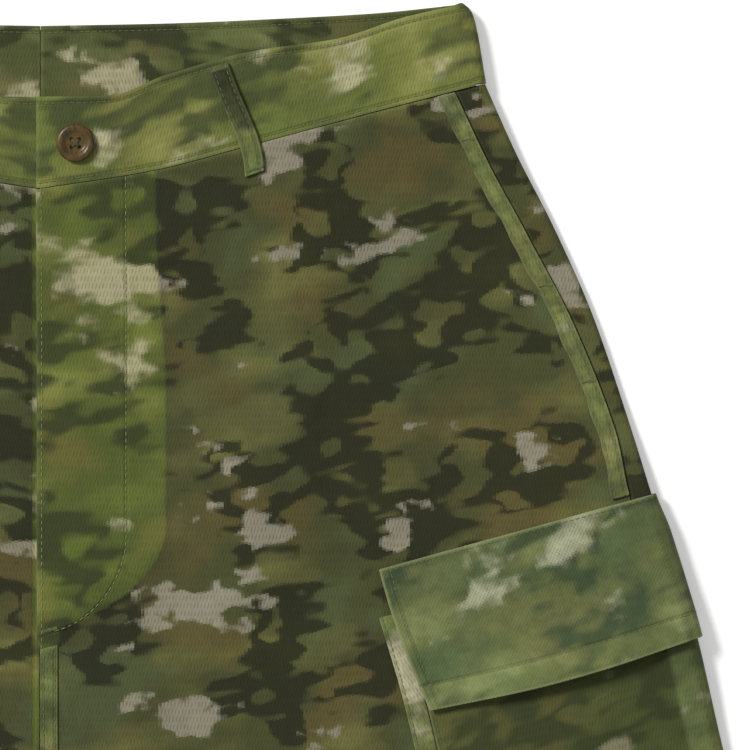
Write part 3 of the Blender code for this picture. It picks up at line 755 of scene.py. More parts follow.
def cloth_material(name, single, doubled, mesh, base_softness, rim_highlight_share, mottle):
    """A finish of the camouflage mesh, in a palette for single and one for doubled cloth."""
    material, bench, shader = new_material(name)
    cut = bench.node("ShaderNodeUVMap", {"uv_map": "cut"})
    across, along = (value / MM for value in bench.parts(cut)[:2])
    facts = {fact: bench.node("ShaderNodeAttribute", {"attribute_name": fact}, None, 2)
             for fact in ("stitch_a", "stitch_b", "doubled", "rim")}
    over = 1.0 - bench.soft_step(facts["doubled"], -0.6, 0.9)
    softness = over * 0.026 + base_softness
    masks = camouflage(bench, across, along, softness)
    colour = bench.blend(over, paint(bench, masks, single), paint(bench, masks, doubled))

    # the dashes are the mesh's holes: they darken the colour, partly as the cloth seen through them and
    # partly as painted shade inside them
    slant = (across * (2 * math.pi * mesh.slant_x) + along * (2 * math.pi * mesh.slant_y)).cosine()
    cross = (across * (2 * math.pi * mesh.cross_x) + along * (2 * math.pi * mesh.cross_y)).cosine()
    dashes = bench.soft_step(slant * 0.62 + cross * 0.38, -0.1, 0.85)
    grain = bench.chance((across / 0.81).floor(), (along / 1.6).floor(), 7.0)
    uneven, drift, blotches, lumps = (
        clouds(bench, name, across, along) for name in ("uneven", "drift", "blotches", "lumps"))
    # painted shade: the colour is darkened along the rows of stitching, where the cloth sinks in; the bump
    # lowers it there as well
    groove = 1.0 - bench.soft_step(facts["stitch_a"].size().smaller(facts["stitch_b"].size()), 0.35, 1.5)
    # painted highlight: near its rim a sheet is lightened towards a pale tone, as light caught on a rounded
    # edge
    painted_rim_highlight = 1.0 - bench.soft_step(facts["rim"], 0.4, 1.8)
    shade = 1.04 + (grain - 0.5) * 0.13 - dashes * uneven * (masks.pale * 0.24 + 0.25) - groove * 0.12
    shade = shade + (drift - 0.5) * 0.5 + (blotches - 0.5) * mottle
    height = (1.0 - dashes) * 0.10 + grain * 0.04 - groove * 0.35 + lumps * 0.9
    bench.fill(shader, {
        "Base Color": bench.blend(painted_rim_highlight * rim_highlight_share, bench.scaled(colour, shade), tone(RIM_HIGHLIGHT_TONE)),
        "Normal": bench.bump(height, 0.75, MM),
        "Roughness": 0.84 + grain * 0.08,
        "Specular IOR Level": 0.22,
        "Sheen Weight": 0.06,
        "Sheen Roughness": 0.5,
    })
    return material


body_cloth = cloth_material("body cloth", BODY_TONES, DOUBLED_TONES, BODY_MESH, 0.018, 0.08, 0.25)
doubled_cloth = cloth_material("doubled cloth", DOUBLED_TONES, DOUBLED_TONES, BODY_MESH, 0.022, 0.18, 0.4)
band_cloth = cloth_material("band cloth", LINING_TONES, BAND_TONES, BODY_MESH, 0.026, 0.12, 0.4)
strip_cloth = cloth_material("strip cloth", BODY_TONES, STRIP_TONES, BODY_MESH, 0.045, 0.12, 1.3)
pocket_cloth = cloth_material("pocket cloth", POCKET_TONES, HEM_TONES, BODY_MESH, 0.04, 0.18, 0.4)
flap_cloth = cloth_material("flap cloth", FLAP_TONES, HEM_TONES, DOUBLED_MESH, 0.045, 0.5, 0.75)
CLOTHS = (body_cloth, doubled_cloth, band_cloth, strip_cloth, pocket_cloth, flap_cloth)
print("cloth finishes:", [finish.name for finish in CLOTHS])

# %% [markdown]
# ## Fronts and backs
# The two fronts run from the centre seam to a side seam that lies a little in on the front face. The
# backs take over there, go round the fold and on underneath to the centre back. The left front laps over
# the centre line above the fly's foot. Both hems are turned up 25 mm and stitched, and the fly's layers
# under the left front show as a lighter panel with a rounded lower corner.
# A leg could be drawn round with Subdivision Surface from a coarse cage, but its seams would drift. Nets
# that run between the pattern's own lines keep every seam where it was cut.

# %% Leg panels
PANEL_ROWS = steps(SEAM_GAP / 2, HEM_DOWN)
FRONT_COLUMNS = 118
BACK_COLUMNS = 112
FOLD_STEPS = np.linspace(90.0, -90.0, 9)    # degrees round a fold, from the front to the back
J_STITCH_X = 40.5           # the fly's J runs this far from the centre
CENTRE_STITCH = 3.0         # a groove beside the right front's centre seam
CENTRE_DOUBLED = 4.0        # and its cloth is double to here
SEAT_GROOVE = 4.0           # the groove beside the centre back


def seam_inset(down):
    return read(SIDE_SEAM, "inset", down)


def inner_edge(side, down, face):
    """Inset of a panel's inner edge: half a seam gap short of the seam, or the fly's overlap."""
    x = read(LEG_ROWS, "inner_x", down) + SEAM_GAP / 2
    if face == "front" and side > 0:
        x = x + (FLY_EDGE_X - SEAM_GAP / 2) * fade(down, FLY_OVERLAP_DOWN, FLY_OVERLAP_DOWN + 8.0)
    return inset_of_x(down, face, x)


def front_net(side):
    down = PANEL_ROWS[:, None]
    part = np.linspace(0.0, 1.0, FRONT_COLUMNS)[None, :]
    inset = inner_edge(side, down, "front") * (1 - part) + (seam_inset(down) + SEAM_GAP / 2) * part
    points = leg_skin(side, down, "front", inset)
    x = side * points[0]
    hem = down - (HEM_DOWN - HEM_FOLD) + 0 * inset
    if side > 0:
        j_stitch = beyond_fly(J_STITCH_X, down, x)
        doubled = np.maximum(beyond_fly(shown_shield(down), down, x), 0.6 * fade(j_stitch, -2.0, 1.0) - 0.9)
        foot = np.maximum(x - FLY_FOOT_WIDTH - 1.0, np.abs(down - FLY_FOOT_DOWN) - 6.0)
        doubled = np.minimum(doubled, foot)
    else:
        j_stitch = x - CENTRE_STITCH
        doubled = x - CENTRE_DOUBLED
    return net(points, x, points[1], j_stitch, hem, np.minimum(doubled, -hem))


def back_net(side):
    down = PANEL_ROWS[:, None]
    seam = seam_inset(down) - SEAM_GAP / 2
    lip = seam + (TURN_FRONT - seam) * np.linspace(0.0, 1.0, 6)[None, :]
    front = leg_skin(side, down, "front", lip)
    fold = leg_skin(side, down, "fold", FOLD_STEPS[None, :])
    part = np.linspace(0.0, 1.0, BACK_COLUMNS)[None, :]
    inset = TURN_BACK * (1 - part) + inner_edge(side, down, "back") * part
    back = leg_skin(side, down, "back", inset)
    fold_x = read(LEG_ROWS, "fold_x", down)
    hem = down - (HEM_DOWN - HEM_FOLD)
    turn = np.radians(90.0 - FOLD_STEPS)[None, :] * 2.0
    parts = []
    for points, across in ((front, side * front[0]), (fold, fold_x - 2.0 + turn),
                           (back, 2 * fold_x + 2.3 - side * back[0])):
        far = 0 * points[2]
        seat = side * points[0] - SEAT_GROOVE if points is back else far + FAR
        parts.append(net(points, across, points[1], seat, hem + far, -hem + far))
    return join_columns(*parts)


front_left = cloth_piece("shorts_front_left", front_net(1), CLOTH, body_cloth, (1.195, 3.4226))
front_right = cloth_piece("shorts_front_right", front_net(-1), CLOTH, body_cloth, (1.31, 0.47))
back_left = cloth_piece("shorts_back_left", back_net(1), CLOTH, body_cloth, (0.62, 1.23))
back_right = cloth_piece("shorts_back_right", back_net(-1), CLOTH, body_cloth, (2.17, 0.81))
print("points in a front's net:", len(front_left.data.vertices))

# %% [markdown]
# ## Waistband
# The waistband is one stiff folded strip on each side, joined at the centre back. It is wider than a
# simple tube would show: the front dips, so the inner face of the back part can be seen above it.
# A curve could carry a flat profile round the waist, but the height of the strip changes along its way.
# So it is a net between two lines, its top edge and its seam.

# %% Waistband
BAND_LOW = LAYER_LIFT       # the belt loops lie under it
BAND_FRONT_LOW = LAYER_LIFT + BAND_CLOTH + LAYER_GAP
BAND_PAD = BAND_CLOTH + SEAM_GAP    # the left end lies on the right one
UNDERLAP_X = 45.0           # which runs on under it to here
BAND_ROWS = 22
BAND_GROOVES = (3.2, 2.4)   # its rows of stitches, in from its top edge and from its seam


def band_edges(face, x):
    """Depth of the waistband's top edge and of its seam at a distance from the centre."""
    if face == "front":
        return read(FRONT_TOP, "depth", x), read(FRONT_SEAM, "depth", x)
    slope = (WAIST_ROW.fold_depth - WAIST_ROW.back_depth) / WAIST_ROW.fold_x
    return read(BACK_TOP, "depth", x), WAIST_ROW.back_depth + slope * x


def band_front_low(side, x):
    pad = BAND_PAD * fade(np.abs(x), 110.0, 170.0) if side > 0 else 0.0
    return BAND_FRONT_LOW + pad + FOLD_PUFF * fade(WAIST_ROW.fold_x - x, 0.0, PUFF_REACH)


def band_wave(across, x):
    """The slight waves of a stitched waistband."""
    edge = pucker(across * 45.0, x, 10.0, 0.28, 6.0) + pucker((1 - across) * 45.0, x + 31.0, 9.0, 0.3, 6.0)
    return edge * fade(x, 175.0, 190.0)


def band_skin(side, across, face, value, out=0.0):
    """Points of the waistband; across runs from its top edge, 0, to its seam, 1."""
    across = np.broadcast_to(across, np.broadcast(across, value).shape)
    if face == "fold":
        edge = read(BAND_FOLD, "x", across)
        low = BAND_LOW + BAND_CLOTH / 2
        high = band_front_low(side, edge) + BAND_CLOTH / 2
        radius = (high - low) / 2
        angle = np.radians(value)
        x = edge - radius + (radius + out) * np.cos(angle)
        top_front, seam_front = band_edges("front", edge)
        top_back, seam_back = band_edges("back", edge)
        over = value >= 0
        top, seam = np.where(over, top_front, top_back), np.where(over, seam_front, seam_back)
        z = (high + low) / 2 + (radius + out) * np.sin(angle)
    elif face == "front":
        x = value + 0 * across
        top, seam = band_edges(face, np.abs(x))
        z = band_front_low(side, x) + BAND_CLOTH / 2 + out + band_wave(across, np.abs(x))
    else:
        x = value + 0 * across
        top, seam = band_edges(face, x)
        z = BAND_LOW + BAND_CLOTH / 2 - out
    return side * x, top + (seam - SEAM_GAP / 2 - top) * across, z + 0 * across


def band_net(side):
    across = np.linspace(0.0, 1.0, BAND_ROWS)[:, None] ** 1.15
    start = FLY_EDGE_X if side > 0 else -UNDERLAP_X
    turn_x = read(BAND_FOLD, "x", across) - 4.5
    part = np.linspace(0.0, 1.0, 88)[None, :]
    front_x = start + (turn_x - start) * part
    back_x = turn_x + (SEAM_GAP / 2 - turn_x) * part
    turn = np.radians(90.0 - FOLD_STEPS)[None, :] * 2.4
    parts = []
    for face, value, cut_x in (("front", front_x, front_x), ("fold", FOLD_STEPS[None, :], 200.0 + turn),
                               ("back", back_x, 404.0 - back_x)):
        points = band_skin(side, across, face, value)
        top, seam = band_edges("back" if face == "back" else "front", np.abs(side * points[0]))
        height = np.maximum(seam - top, 30.0)
        parts.append(net(points, cut_x, across * height, across * height - BAND_GROOVES[0],
                         (1 - across) * height - BAND_GROOVES[1], FAR if face == "back" else -1.0))
    return join_columns(*parts)


waistband_left = cloth_piece("waistband_cloth_left", band_net(1), BAND_CLOTH, band_cloth, (0.292, 0.763))
waistband_right = cloth_piece("waistband_cloth_right", band_net(-1), BAND_CLOTH, band_cloth, (1.74, 2.05))
print("points in a waistband's net:", len(waistband_left.data.vertices))

# %% [markdown]
# ## Fly
# Under the left front lie the facing, which is stitched to it in a J, and the shield behind. Little of
# them shows, at the fly's edge, but their thickness lifts the front. Below the fly the centre seam is
# felled flat, as a narrow band with a row of stitches along both edges.
# A Boolean could cut their rounded corner and would leave ragged triangles there. A net whose outer edge
# follows a quarter of an ellipse turns the same corner in clean quads.

# %% Fly pieces and the felled seam
def fly_net(start_x, width, low):
    down = steps(SEAM_GAP / 2, FLY_FOOT_DOWN, 4.0)[:, None]
    x = start_x + (fly_edge_x(width, down) - start_x) * np.linspace(0.0, 1.0, 14)[None, :]
    inset = inset_of_x(down, "front", x)
    plan_x, depth = on_row(down, "front", inset)
    rise = pressed_rise(down, inset, plan_x, depth)
    z = front_base(down, inset) + low + CLOTH / 2 + rise
    return net((plan_x, depth, z), plan_x, depth, FAR, FAR, -1.0)


RISE_CLOTH = 0.7            # the felled seam is pressed thin
RISE_WIDTH = 8.5
RISE_DOWN = 262.5           # it ends here, just short of the crotch
RISE_STITCHES = (1.7, 7.2)  # its two rows, in from the fly's line


def rise_net():
    down = steps(FLY_FOOT_DOWN + 6.0, RISE_DOWN)[:, None]
    inset = inner_edge(1, down, "front") - RISE_WIDTH * np.linspace(0.0, 1.0, 6)[None, :]
    points = leg_skin(1, down, "front", inset, (CLOTH + RISE_CLOTH) / 2 + 0.1)
    first, second = RISE_STITCHES
    return net(points, points[0], points[1], points[0] - first, points[0] - second, -0.3)


fly_shield = cloth_piece("fly_shield_cloth", fly_net(SHIELD_INSIDE, SHIELD_WIDTH, 0.0), CLOTH,
                         doubled_cloth, (0.91, 0.22))
fly_facing = cloth_piece("fly_facing_cloth", fly_net(SEAM_GAP / 2, FACING_WIDTH, LAYER_LIFT), CLOTH,
                         doubled_cloth, (0.35, 0.66))
rise_cover = cloth_piece("rise_band_cloth", rise_net(), RISE_CLOTH, strip_cloth, (3.129, 2.418))
print("fly pieces:", fly_shield.name, fly_facing.name, rise_cover.name)

# %% [markdown]
# ## Side bands
# A narrow band is stitched over each side seam, from the waistband down to the flap. A curve with a flat
# bevel could make it, but the cloth under it rolls and puckers. So it is the leg's own skin, moved out by
# the cloth that it lies on, as is everything else that is sewn on the outside of the leg.

# %% Side bands
SIDE_BAND_SHOWN = 8.4       # the finished width, once its raw edge is turned under
SIDE_BAND_DOWN = 206.5      # it ends here, just above the flap's seam
SIDE_BAND_STITCH = 1.6      # its rows of stitches, in from both edges


def side_band_net(side):
    down = steps(0.9, SIDE_BAND_DOWN)[:, None]
    width = SIDE_BAND_SHOWN + 0.35 * np.sin(down / 6.3) + 0.25 * np.sin(down / 2.9 + 1.0)
    inset = seam_inset(down) + width + (SEAM_GAP / 2 - width) * np.linspace(0, 1, 9)[None, :]
    points = leg_skin(side, down, "front", inset, CLOTH + SEAM_GAP)
    from_seam = inset - seam_inset(down)
    thinner = 1 - fade(from_seam, SIDE_BAND_SHOWN - 2.2, SIDE_BAND_SHOWN)
    return net(points, -from_seam, down + 0 * inset, from_seam - SIDE_BAND_STITCH,
               from_seam - SIDE_BAND_SHOWN + SIDE_BAND_STITCH,
               0.45 * thinner - 0.3)


print("side band, mm:", SIDE_BAND_SHOWN, "wide, and it ends at", SIDE_BAND_DOWN)

# %% [markdown]
# ## Cargo pockets and their gussets
# The cargo pocket is a patch with its sides folded double. It goes round the side fold on to the back, and
# a gusset strip along both sides lets it open. It bellies out a little between its stitched edges.
# Sculpting could shape that belly but would lose the pocket's cut size, which the skin of the leg keeps.

# %% Pockets and gussets
POCKET_STITCH = 2.2         # the pocket's row of stitches, in from its front edge
FOOT_STITCH = 2.6           # and up from its foot
GUSSET_STITCH = 8.4         # the gusset's row, from the pocket's side
FOLDED_SIDE = {"front": 13.5, "back": 9.0}      # the pocket's side is folded double this far in
POCKET_TURN = 13.5          # cloth that the pocket takes to go round the fold


def pocket_belly(down, inset):
    """The pocket's slack between its edges, and the step where its side is folded double."""
    slack = 0.9 * between(down, 262.0, 380.0, 30.0) * between(inset, 34.0, 104.0, 24.0)
    return slack + 0.5 * fade(inset, FOLDED_SIDE["front"] - 0.8, FOLDED_SIDE["front"] + 0.8)


def pocket_skin(side, down, face, value, above=0.0):
    """Points of the pocket, a distance above the middle of its cloth."""
    belly = pocket_belly(down, value) if face == "front" else 0.0
    return leg_skin(side, down, face, value, CLOTH + SEAM_GAP + belly + above)


def wrapped(front, wrap, turn):
    """A wrapped piece's three stretches: face, places on the leg, and places in the cut cloth."""
    back = steps(TURN_BACK, wrap)[None, :]
    fold = turn * np.linspace(0.0, 1.0, len(FOLD_STEPS))[None, :] - TURN_FRONT
    return (("front", front, -front), ("fold", FOLD_STEPS[None, :], fold),
            ("back", back, back - TURN_FRONT - TURN_BACK + turn))


def pocket_net(side):
    down = steps(*POCKET_DOWN)[:, None]
    front = steps(POCKET_EDGE_INSET, TURN_FRONT)[None, :]
    parts = []
    for face, value, across in wrapped(front, WRAP_POCKET, POCKET_TURN):
        points = pocket_skin(side, down, face, value)
        edge = POCKET_EDGE_INSET - POCKET_STITCH + across
        foot = POCKET_DOWN[1] - FOOT_STITCH - down
        folded = 0.0 if face == "fold" else np.maximum(value - FOLDED_SIDE[face], -0.2)
        parts.append(net(points, across, down + 0 * value, edge, foot, folded))
    return join_columns(*parts)


def gusset_net(side, face, start, end):
    down = steps(*POCKET_DOWN)[:, None]
    inset = start + (end - start) * np.linspace(0.0, 1.0, 6)[None, :]
    points = leg_skin(side, down, face, inset, CLOTH + SEAM_GAP)
    return net(points, inset, down + 0 * inset, inset - min(start, end) - GUSSET_STITCH, FAR, -0.15)


print("pocket's net:", pocket_net(1)["z"].shape)

# %% [markdown]
# ## Flaps
# The flap is two layers turned out. It is sewn on above the pocket, lies over its mouth and goes round the
# side fold, and its free edge stands off towards the side. A cloth simulation could drop it there, but a
# sum of a stand, a wave and a sag is quick, and each part of it can be set alone.

# %% Flaps
FLAP_STITCH = 5.2           # the flap's row of stitches, in from its front edge
FLAP_TURN = 22.0            # cloth that it takes to go round the fold, since it stands further off
FLAP_BOW = 2.2              # its front edge bows out towards the gusset
FLAP_SAG = 2.8              # its free edge hangs this much lower at the middle
FLAP_STAND = 5.4            # and stands this far off at most
FLAP_RISES = (240.0, 281.0)     # it rises between these


def flap_edge(down):
    part = (down - FLAP_DOWN[0]) / (FLAP_DOWN[1] - FLAP_DOWN[0])
    bow = FLAP_BOW * np.sin(math.pi * np.clip(part, 0.0, 1.0))
    return FLAP_EDGE_INSET[0] + (FLAP_EDGE_INSET[1] - FLAP_EDGE_INSET[0]) * part + bow


def sagged(down, inset):
    """The flap's lower edge hangs in a slight bow."""
    part = np.clip((down - FLAP_DOWN[0]) / (FLAP_DOWN[1] - FLAP_DOWN[0]), 0.0, 1.0)
    return down + FLAP_SAG * part ** 2 * np.sin(math.pi * np.clip(inset / FLAP_EDGE_INSET[1], 0.0, 1.0))


def flap_wave(down, inset):
    """The flap's own shallow waves, and its turned hem that stands a little thicker."""
    wave = 0.45 * np.sin(inset / 19.0 + down / 31.0) + 0.3 * np.sin(inset / 8.3 - down / 12.0 + 1.0)
    hem = 0.35 * fade(-down, FLAP_HEM - FLAP_DOWN[1] - 1.0, FLAP_HEM - FLAP_DOWN[1] + 1.2)
    held = 1 - fade(down, FLAP_DOWN[0] + 4.0, FLAP_DOWN[0] + 24.0)
    return (0.5 + wave) * held * (1 - fade(inset, 6.0, 24.0)) + hem


def flap_stand(down, inset):
    """The flap's free edge stands off the pocket, most of all towards the fold."""
    towards_side = fade(inset, 62.0, 118.0) * (0.22 + 0.78 * (1 - fade(inset, 0.0, 42.0)))
    return FLAP_STAND * (1 - fade(down, *FLAP_RISES)) * (0.16 + 0.84 * towards_side)


def flap_skin(side, down, face, value, above=0.0):
    """Points of the flap, a distance above the middle of its cloth."""
    over_pocket = (CLOTH + SEAM_GAP) * (1 - fade(down, FLAP_DOWN[0], FLAP_DOWN[0] + 19.0))
    out = CLOTH / 2 + SEAM_GAP + FLAP_CLOTH / 2 + over_pocket + above
    if face == "front":
        out = out + flap_wave(down, value) + flap_stand(down, value) + 0.8 * pocket_belly(down, value)
    elif face == "fold":
        out = out + flap_stand(down, 0.0) * np.maximum(np.sin(np.radians(value)), 0.0)
    return leg_skin(side, sagged(down, value) if face == "front" else down, face, value, out)


def flap_net(side):
    down = steps(*FLAP_DOWN, 1.9)[:, None]
    part = np.linspace(0.0, 1.0, 62)[None, :]
    front = flap_edge(down) * (1 - part) + TURN_FRONT * part
    parts = []
    for face, value, across in wrapped(front, WRAP_FLAP, FLAP_TURN):
        points = flap_skin(side, down, face, value)
        left = flap_edge(down) - FLAP_STITCH + across if face == "front" else FAR
        hem = FLAP_DOWN[1] - FLAP_HEM - down
        parts.append(net(points, across, down + 0 * value, left, hem, hem))
    return join_columns(*parts)


print("flap's net:", flap_net(1)["z"].shape)

# %% Pieces sewn on the legs
sewn_on = {}
for side, hand, shift in ((1, "left", 0.0), (-1, "right", 0.73)):
    front_seam = POCKET_EDGE_INSET + SEAM_GAP
    back_seam = WRAP_POCKET + SEAM_GAP
    for name, layout, thickness, finish, cut_x, cut_y in (
        ("side_band_cloth", side_band_net(side), CLOTH, strip_cloth, 2.1364, 2.4541),
        ("pocket_cloth", pocket_net(side), CLOTH, pocket_cloth, 1.05, 1.48),
        ("gusset_cloth_front", gusset_net(side, "front", front_seam + GUSSET_WIDTH, front_seam),
         CLOTH, strip_cloth, 1.9572, 1.4676),
        ("gusset_cloth_back", gusset_net(side, "back", back_seam, back_seam + GUSSET_WIDTH),
         CLOTH, strip_cloth, 2.6, 0.9),
        ("flap_cloth", flap_net(side), FLAP_CLOTH, flap_cloth, 0.9595, 2.473),
    ):
        sewn_on[name, hand] = cloth_piece(f"{name}_{hand}", layout, thickness, finish, (cut_x + shift, cut_y))
print("pieces on the legs:", len(sewn_on))

# %% [markdown]
# ## Belt loops
# Two front loops slant over the waistband and stand off it a little. The three at the back lie flat under
# the garment, so that from above only the front two are seen. A curve with a flat profile could make one,
# but it would twist where the loop slants and steps down. So a loop is a net, its height is a function of
# the part of its length, and only that function differs between a standing loop and a lying one.

# %% Belt loops
LOOP_BOW = 2.3              # a front loop hangs in a slight bow towards its own side
LOOP_FOOT_DOWN = 15.0       # and its foot lies this far below the waist seam
LOOP_STITCH = 2.9           # its two rows, aside from its middle


def loop_length(ends):
    return math.dist((ends.top_x, ends.top_depth), (ends.foot_x, ends.foot_depth))


def loop_skin(side, ends, height, part, aside, above=0.0):
    """Points of a loop: part of its length from the top, and the distance aside from its middle."""
    length = loop_length(ends)
    along = ((ends.foot_x - ends.top_x) / length, (ends.foot_depth - ends.top_depth) / length)
    if ends is FRONT_LOOP:
        aside = aside + LOOP_BOW * np.sin(math.pi * part ** 2)
    x = ends.top_x + along[0] * length * part + along[1] * aside
    depth = ends.top_depth + along[1] * length * part - along[0] * aside
    return side * x, depth, height(part) + above + 0 * aside


def loop_net(side, ends, height):
    part = np.linspace(0.0, 1.0, 40)[:, None]
    aside = LOOP_WIDTH * (np.linspace(0.0, 1.0, 9)[None, :] - 0.5)
    points = loop_skin(side, ends, height, part, aside)
    return net(points, aside, loop_length(ends) * part, np.abs(aside) - LOOP_STITCH, FAR, 0.6 - 0.9 * part)


def front_loop_height(side):
    """The loop lies on the waistband, then steps down on to the front below its seam."""
    on_band = band_front_low(side, FRONT_LOOP.top_x) + BAND_CLOTH + SEAM_GAP + CLOTH / 2 + 0.25
    foot_inset = inset_of_x(LOOP_FOOT_DOWN, "front", FRONT_LOOP.foot_x)
    on_front = front_middle(side, LOOP_FOOT_DOWN, foot_inset) + CLOTH + SEAM_GAP + 0.15

    def height(part):
        arch = LOOP_ARCH * np.sin(math.pi * np.minimum(part / LOOP_STEP, 1.0))
        return on_front + (on_band - on_front) * fade(part, LOOP_STEP, 1.0) + arch

    return height


def lying_loop_height(part):
    return CLOTH / 2 + 0 * part


belt_loops = {}
for name, side, ends, height, place_in_cloth in (
    ("front_left", 1, FRONT_LOOP, front_loop_height(1), (1.5788, 2.873)),
    ("back_left", 1, BACK_LOOP, lying_loop_height, (0.3, 3.3)),
    ("front_right", -1, FRONT_LOOP, front_loop_height(-1), (1.9788, 2.873)),
    ("back_right", -1, BACK_LOOP, lying_loop_height, (0.7, 3.3)),
    ("centre", 1, CENTRE_LOOP, lying_loop_height, (0.25, 3.5)),
):
    belt_loops[name] = cloth_piece(f"loop_cloth_{name}", loop_net(side, ends, height), CLOTH,
                                   strip_cloth, place_in_cloth)
print("belt loops:", len(belt_loops))

# %% [markdown]
# ## Rows of stitching
# Every edge and seam is sewn down with a row of small, slightly plump stitches. There are thousands, all
# alike, so Geometry Nodes lay them: the tree takes a line, marks it off at the stitch length, puts one
# small thread at each mark along the line, and varies each one a little by a fixed seed. A bar tack is the
# same row with its threads turned across the line and set close together.

# %% A tree that sews
def stitch_tree():
    """Geometry Nodes that lay stitches along lines."""
    tree = bpy.data.node_groups.new("row of stitches", "GeometryNodeTree")
    tree.interface.new_socket("Lines", in_out="INPUT", socket_type="NodeSocketGeometry")
    for name, kind in (("Pitch", "NodeSocketFloat"), ("Length", "NodeSocketFloat"),
                       ("Thickness", "NodeSocketFloat"), ("Turn", "NodeSocketFloat"),
                       ("Seed", "NodeSocketInt"), ("Thread", "NodeSocketMaterial")):
        tree.interface.new_socket(name, in_out="INPUT", socket_type=kind)
    tree.interface.new_socket("Stitches", in_out="OUTPUT", socket_type="NodeSocketGeometry")
    bench = Bench(tree)
    given = tree.nodes.new("NodeGroupInput").outputs
    pick = {socket.name: Link(bench, socket) for socket in given if socket.name}
    lines = bench.node("GeometryNodeMeshToCurve", None, {"Mesh": pick["Lines"]})
    marks = bench.node("GeometryNodeResampleCurve", {"mode": "LENGTH"},
                       {"Curve": lines, "Length": pick["Pitch"]})
    bead = bench.node("GeometryNodeMeshUVSphere", None, {"Segments": 6, "Rings": 4, "Radius": 0.5})
    size = bench.node("ShaderNodeCombineXYZ", None,
                      {0: pick["Thickness"] * 0.8, 1: pick["Thickness"], 2: pick["Length"]})
    thread = bench.node("GeometryNodeTransform", None,
                        {"Geometry": bead, "Rotation": (0.0, math.pi / 2, 0.0), "Scale": size})
    heading = bench.node("GeometryNodeInputTangent")
    along = bench.node("FunctionNodeAlignRotationToVector", {"axis": "X"}, {"Vector": heading})
    lean = bench.node("FunctionNodeRandomValue", {"data_type": "FLOAT"},
                      {2: -0.07, 3: 0.07, "Seed": pick["Seed"]}, 1)
    turned = bench.node("FunctionNodeAxisAngleToRotation", None,
                        {"Axis": (0.0, 0.0, 1.0), "Angle": pick["Turn"] + lean})
    facing = bench.node("FunctionNodeRotateRotation", {"rotation_space": "LOCAL"}, {0: along, 1: turned})
    varied = bench.node("FunctionNodeRandomValue", {"data_type": "FLOAT"},
                        {2: 0.88, 3: 1.06, "Seed": pick["Seed"] + 5.0}, 1)
    sewn = bench.node("GeometryNodeInstanceOnPoints", None,
                      {"Points": marks, "Instance": thread, "Rotation": facing, "Scale": varied})
    real = bench.node("GeometryNodeRealizeInstances", None, {0: sewn})
    smooth = bench.node("GeometryNodeSetShadeSmooth", None, {0: real})
    dyed = bench.node("GeometryNodeSetMaterial", None, {"Geometry": smooth, "Material": pick["Thread"]})
    end = tree.nodes.new("NodeGroupOutput")
    tree.links.new(dyed.socket, end.inputs["Stitches"])
    return tree


def set_inputs(modifier, **values):
    """Set a tree's named inputs on a modifier by their sockets' identifiers."""
    for item in modifier.node_group.interface.items_tree:
        if item.in_out == "INPUT" and item.name in values:
            modifier[item.identifier] = values[item.name]


def sew(name, lines, tree, **values):
    """Turn lines of places into one mesh of stitches."""
    points, edges = [], []
    for x, depth, z in lines:
        first = len(points)
        places = np.stack(np.broadcast_arrays(x * MM, (DEPTH_MIDDLE - depth) * MM, z * MM), axis=-1)
        points += places.reshape(-1, 3).tolist()
        edges += [(i, i + 1) for i in range(first, len(points) - 1)]
    mesh = bpy.data.meshes.new(name + " lines")
    mesh.from_pydata(points, edges, [])
    path = placed(name + " lines", mesh)
    sewing = path.modifiers.new("sewing", "NODES")
    sewing.node_group = tree
    set_inputs(sewing, **values)
    shown = path.evaluated_get(bpy.context.evaluated_depsgraph_get())
    made = bpy.data.meshes.new_from_object(shown)
    made.name = name
    bpy.data.objects.remove(path)
    print(name, "triangles:", sum(len(face.vertices) - 2 for face in made.polygons))
    return placed(name, made)


sewing_tree = stitch_tree()
print("inputs of the sewing tree:", [item.name for item in sewing_tree.interface.items_tree])

# %% [markdown]
# The lines to sew are written with the same functions as the cloth, a hair above its surface. Each line
# is a function of the distance down the leg or across it, so it bends over every crease.

# %% Rows on the legs and the waistband
ON_CLOTH = CLOTH / 2 + 0.08                     # the middle of a thread, above the middle of the cloth
ON_COVER = CLOTH + SEAM_GAP + ON_CLOTH          # the same for a piece that lies on the leg
ON_RISE = CLOTH / 2 + RISE_CLOTH + 0.18
ON_BAND = BAND_CLOTH / 2 + 0.08
ON_FLAP = FLAP_CLOTH / 2 + 0.08
SEAT_STITCHES = (2.2, 7.6)      # two rows beside the centre back
SIDE_SEAM_STITCH = 1.8          # the row beside the side seam below the pocket
BAND_STITCHES = (0.075, 0.945)  # the waistband's rows, as parts of its height
WRAP_STITCH = 2.0               # rows at the back ends of pocket and flap, in from the end
FLY_STITCH = 2.4                # the row along the fly's edge, in from it


def joined(*lines):
    """Lines one after the other as one line."""
    return tuple(np.concatenate([np.ravel(np.broadcast_to(line[i], line[2].shape)) for line in lines])
                 for i in range(3))


def round_the_leg(skin, side, down, front, back, above):
    """A line at one distance down, over the front, round the fold and along the back."""
    return joined(skin(side, down, "front", front, above), skin(side, down, "fold", FOLD_STEPS, above),
                  skin(side, down, "back", back, above))


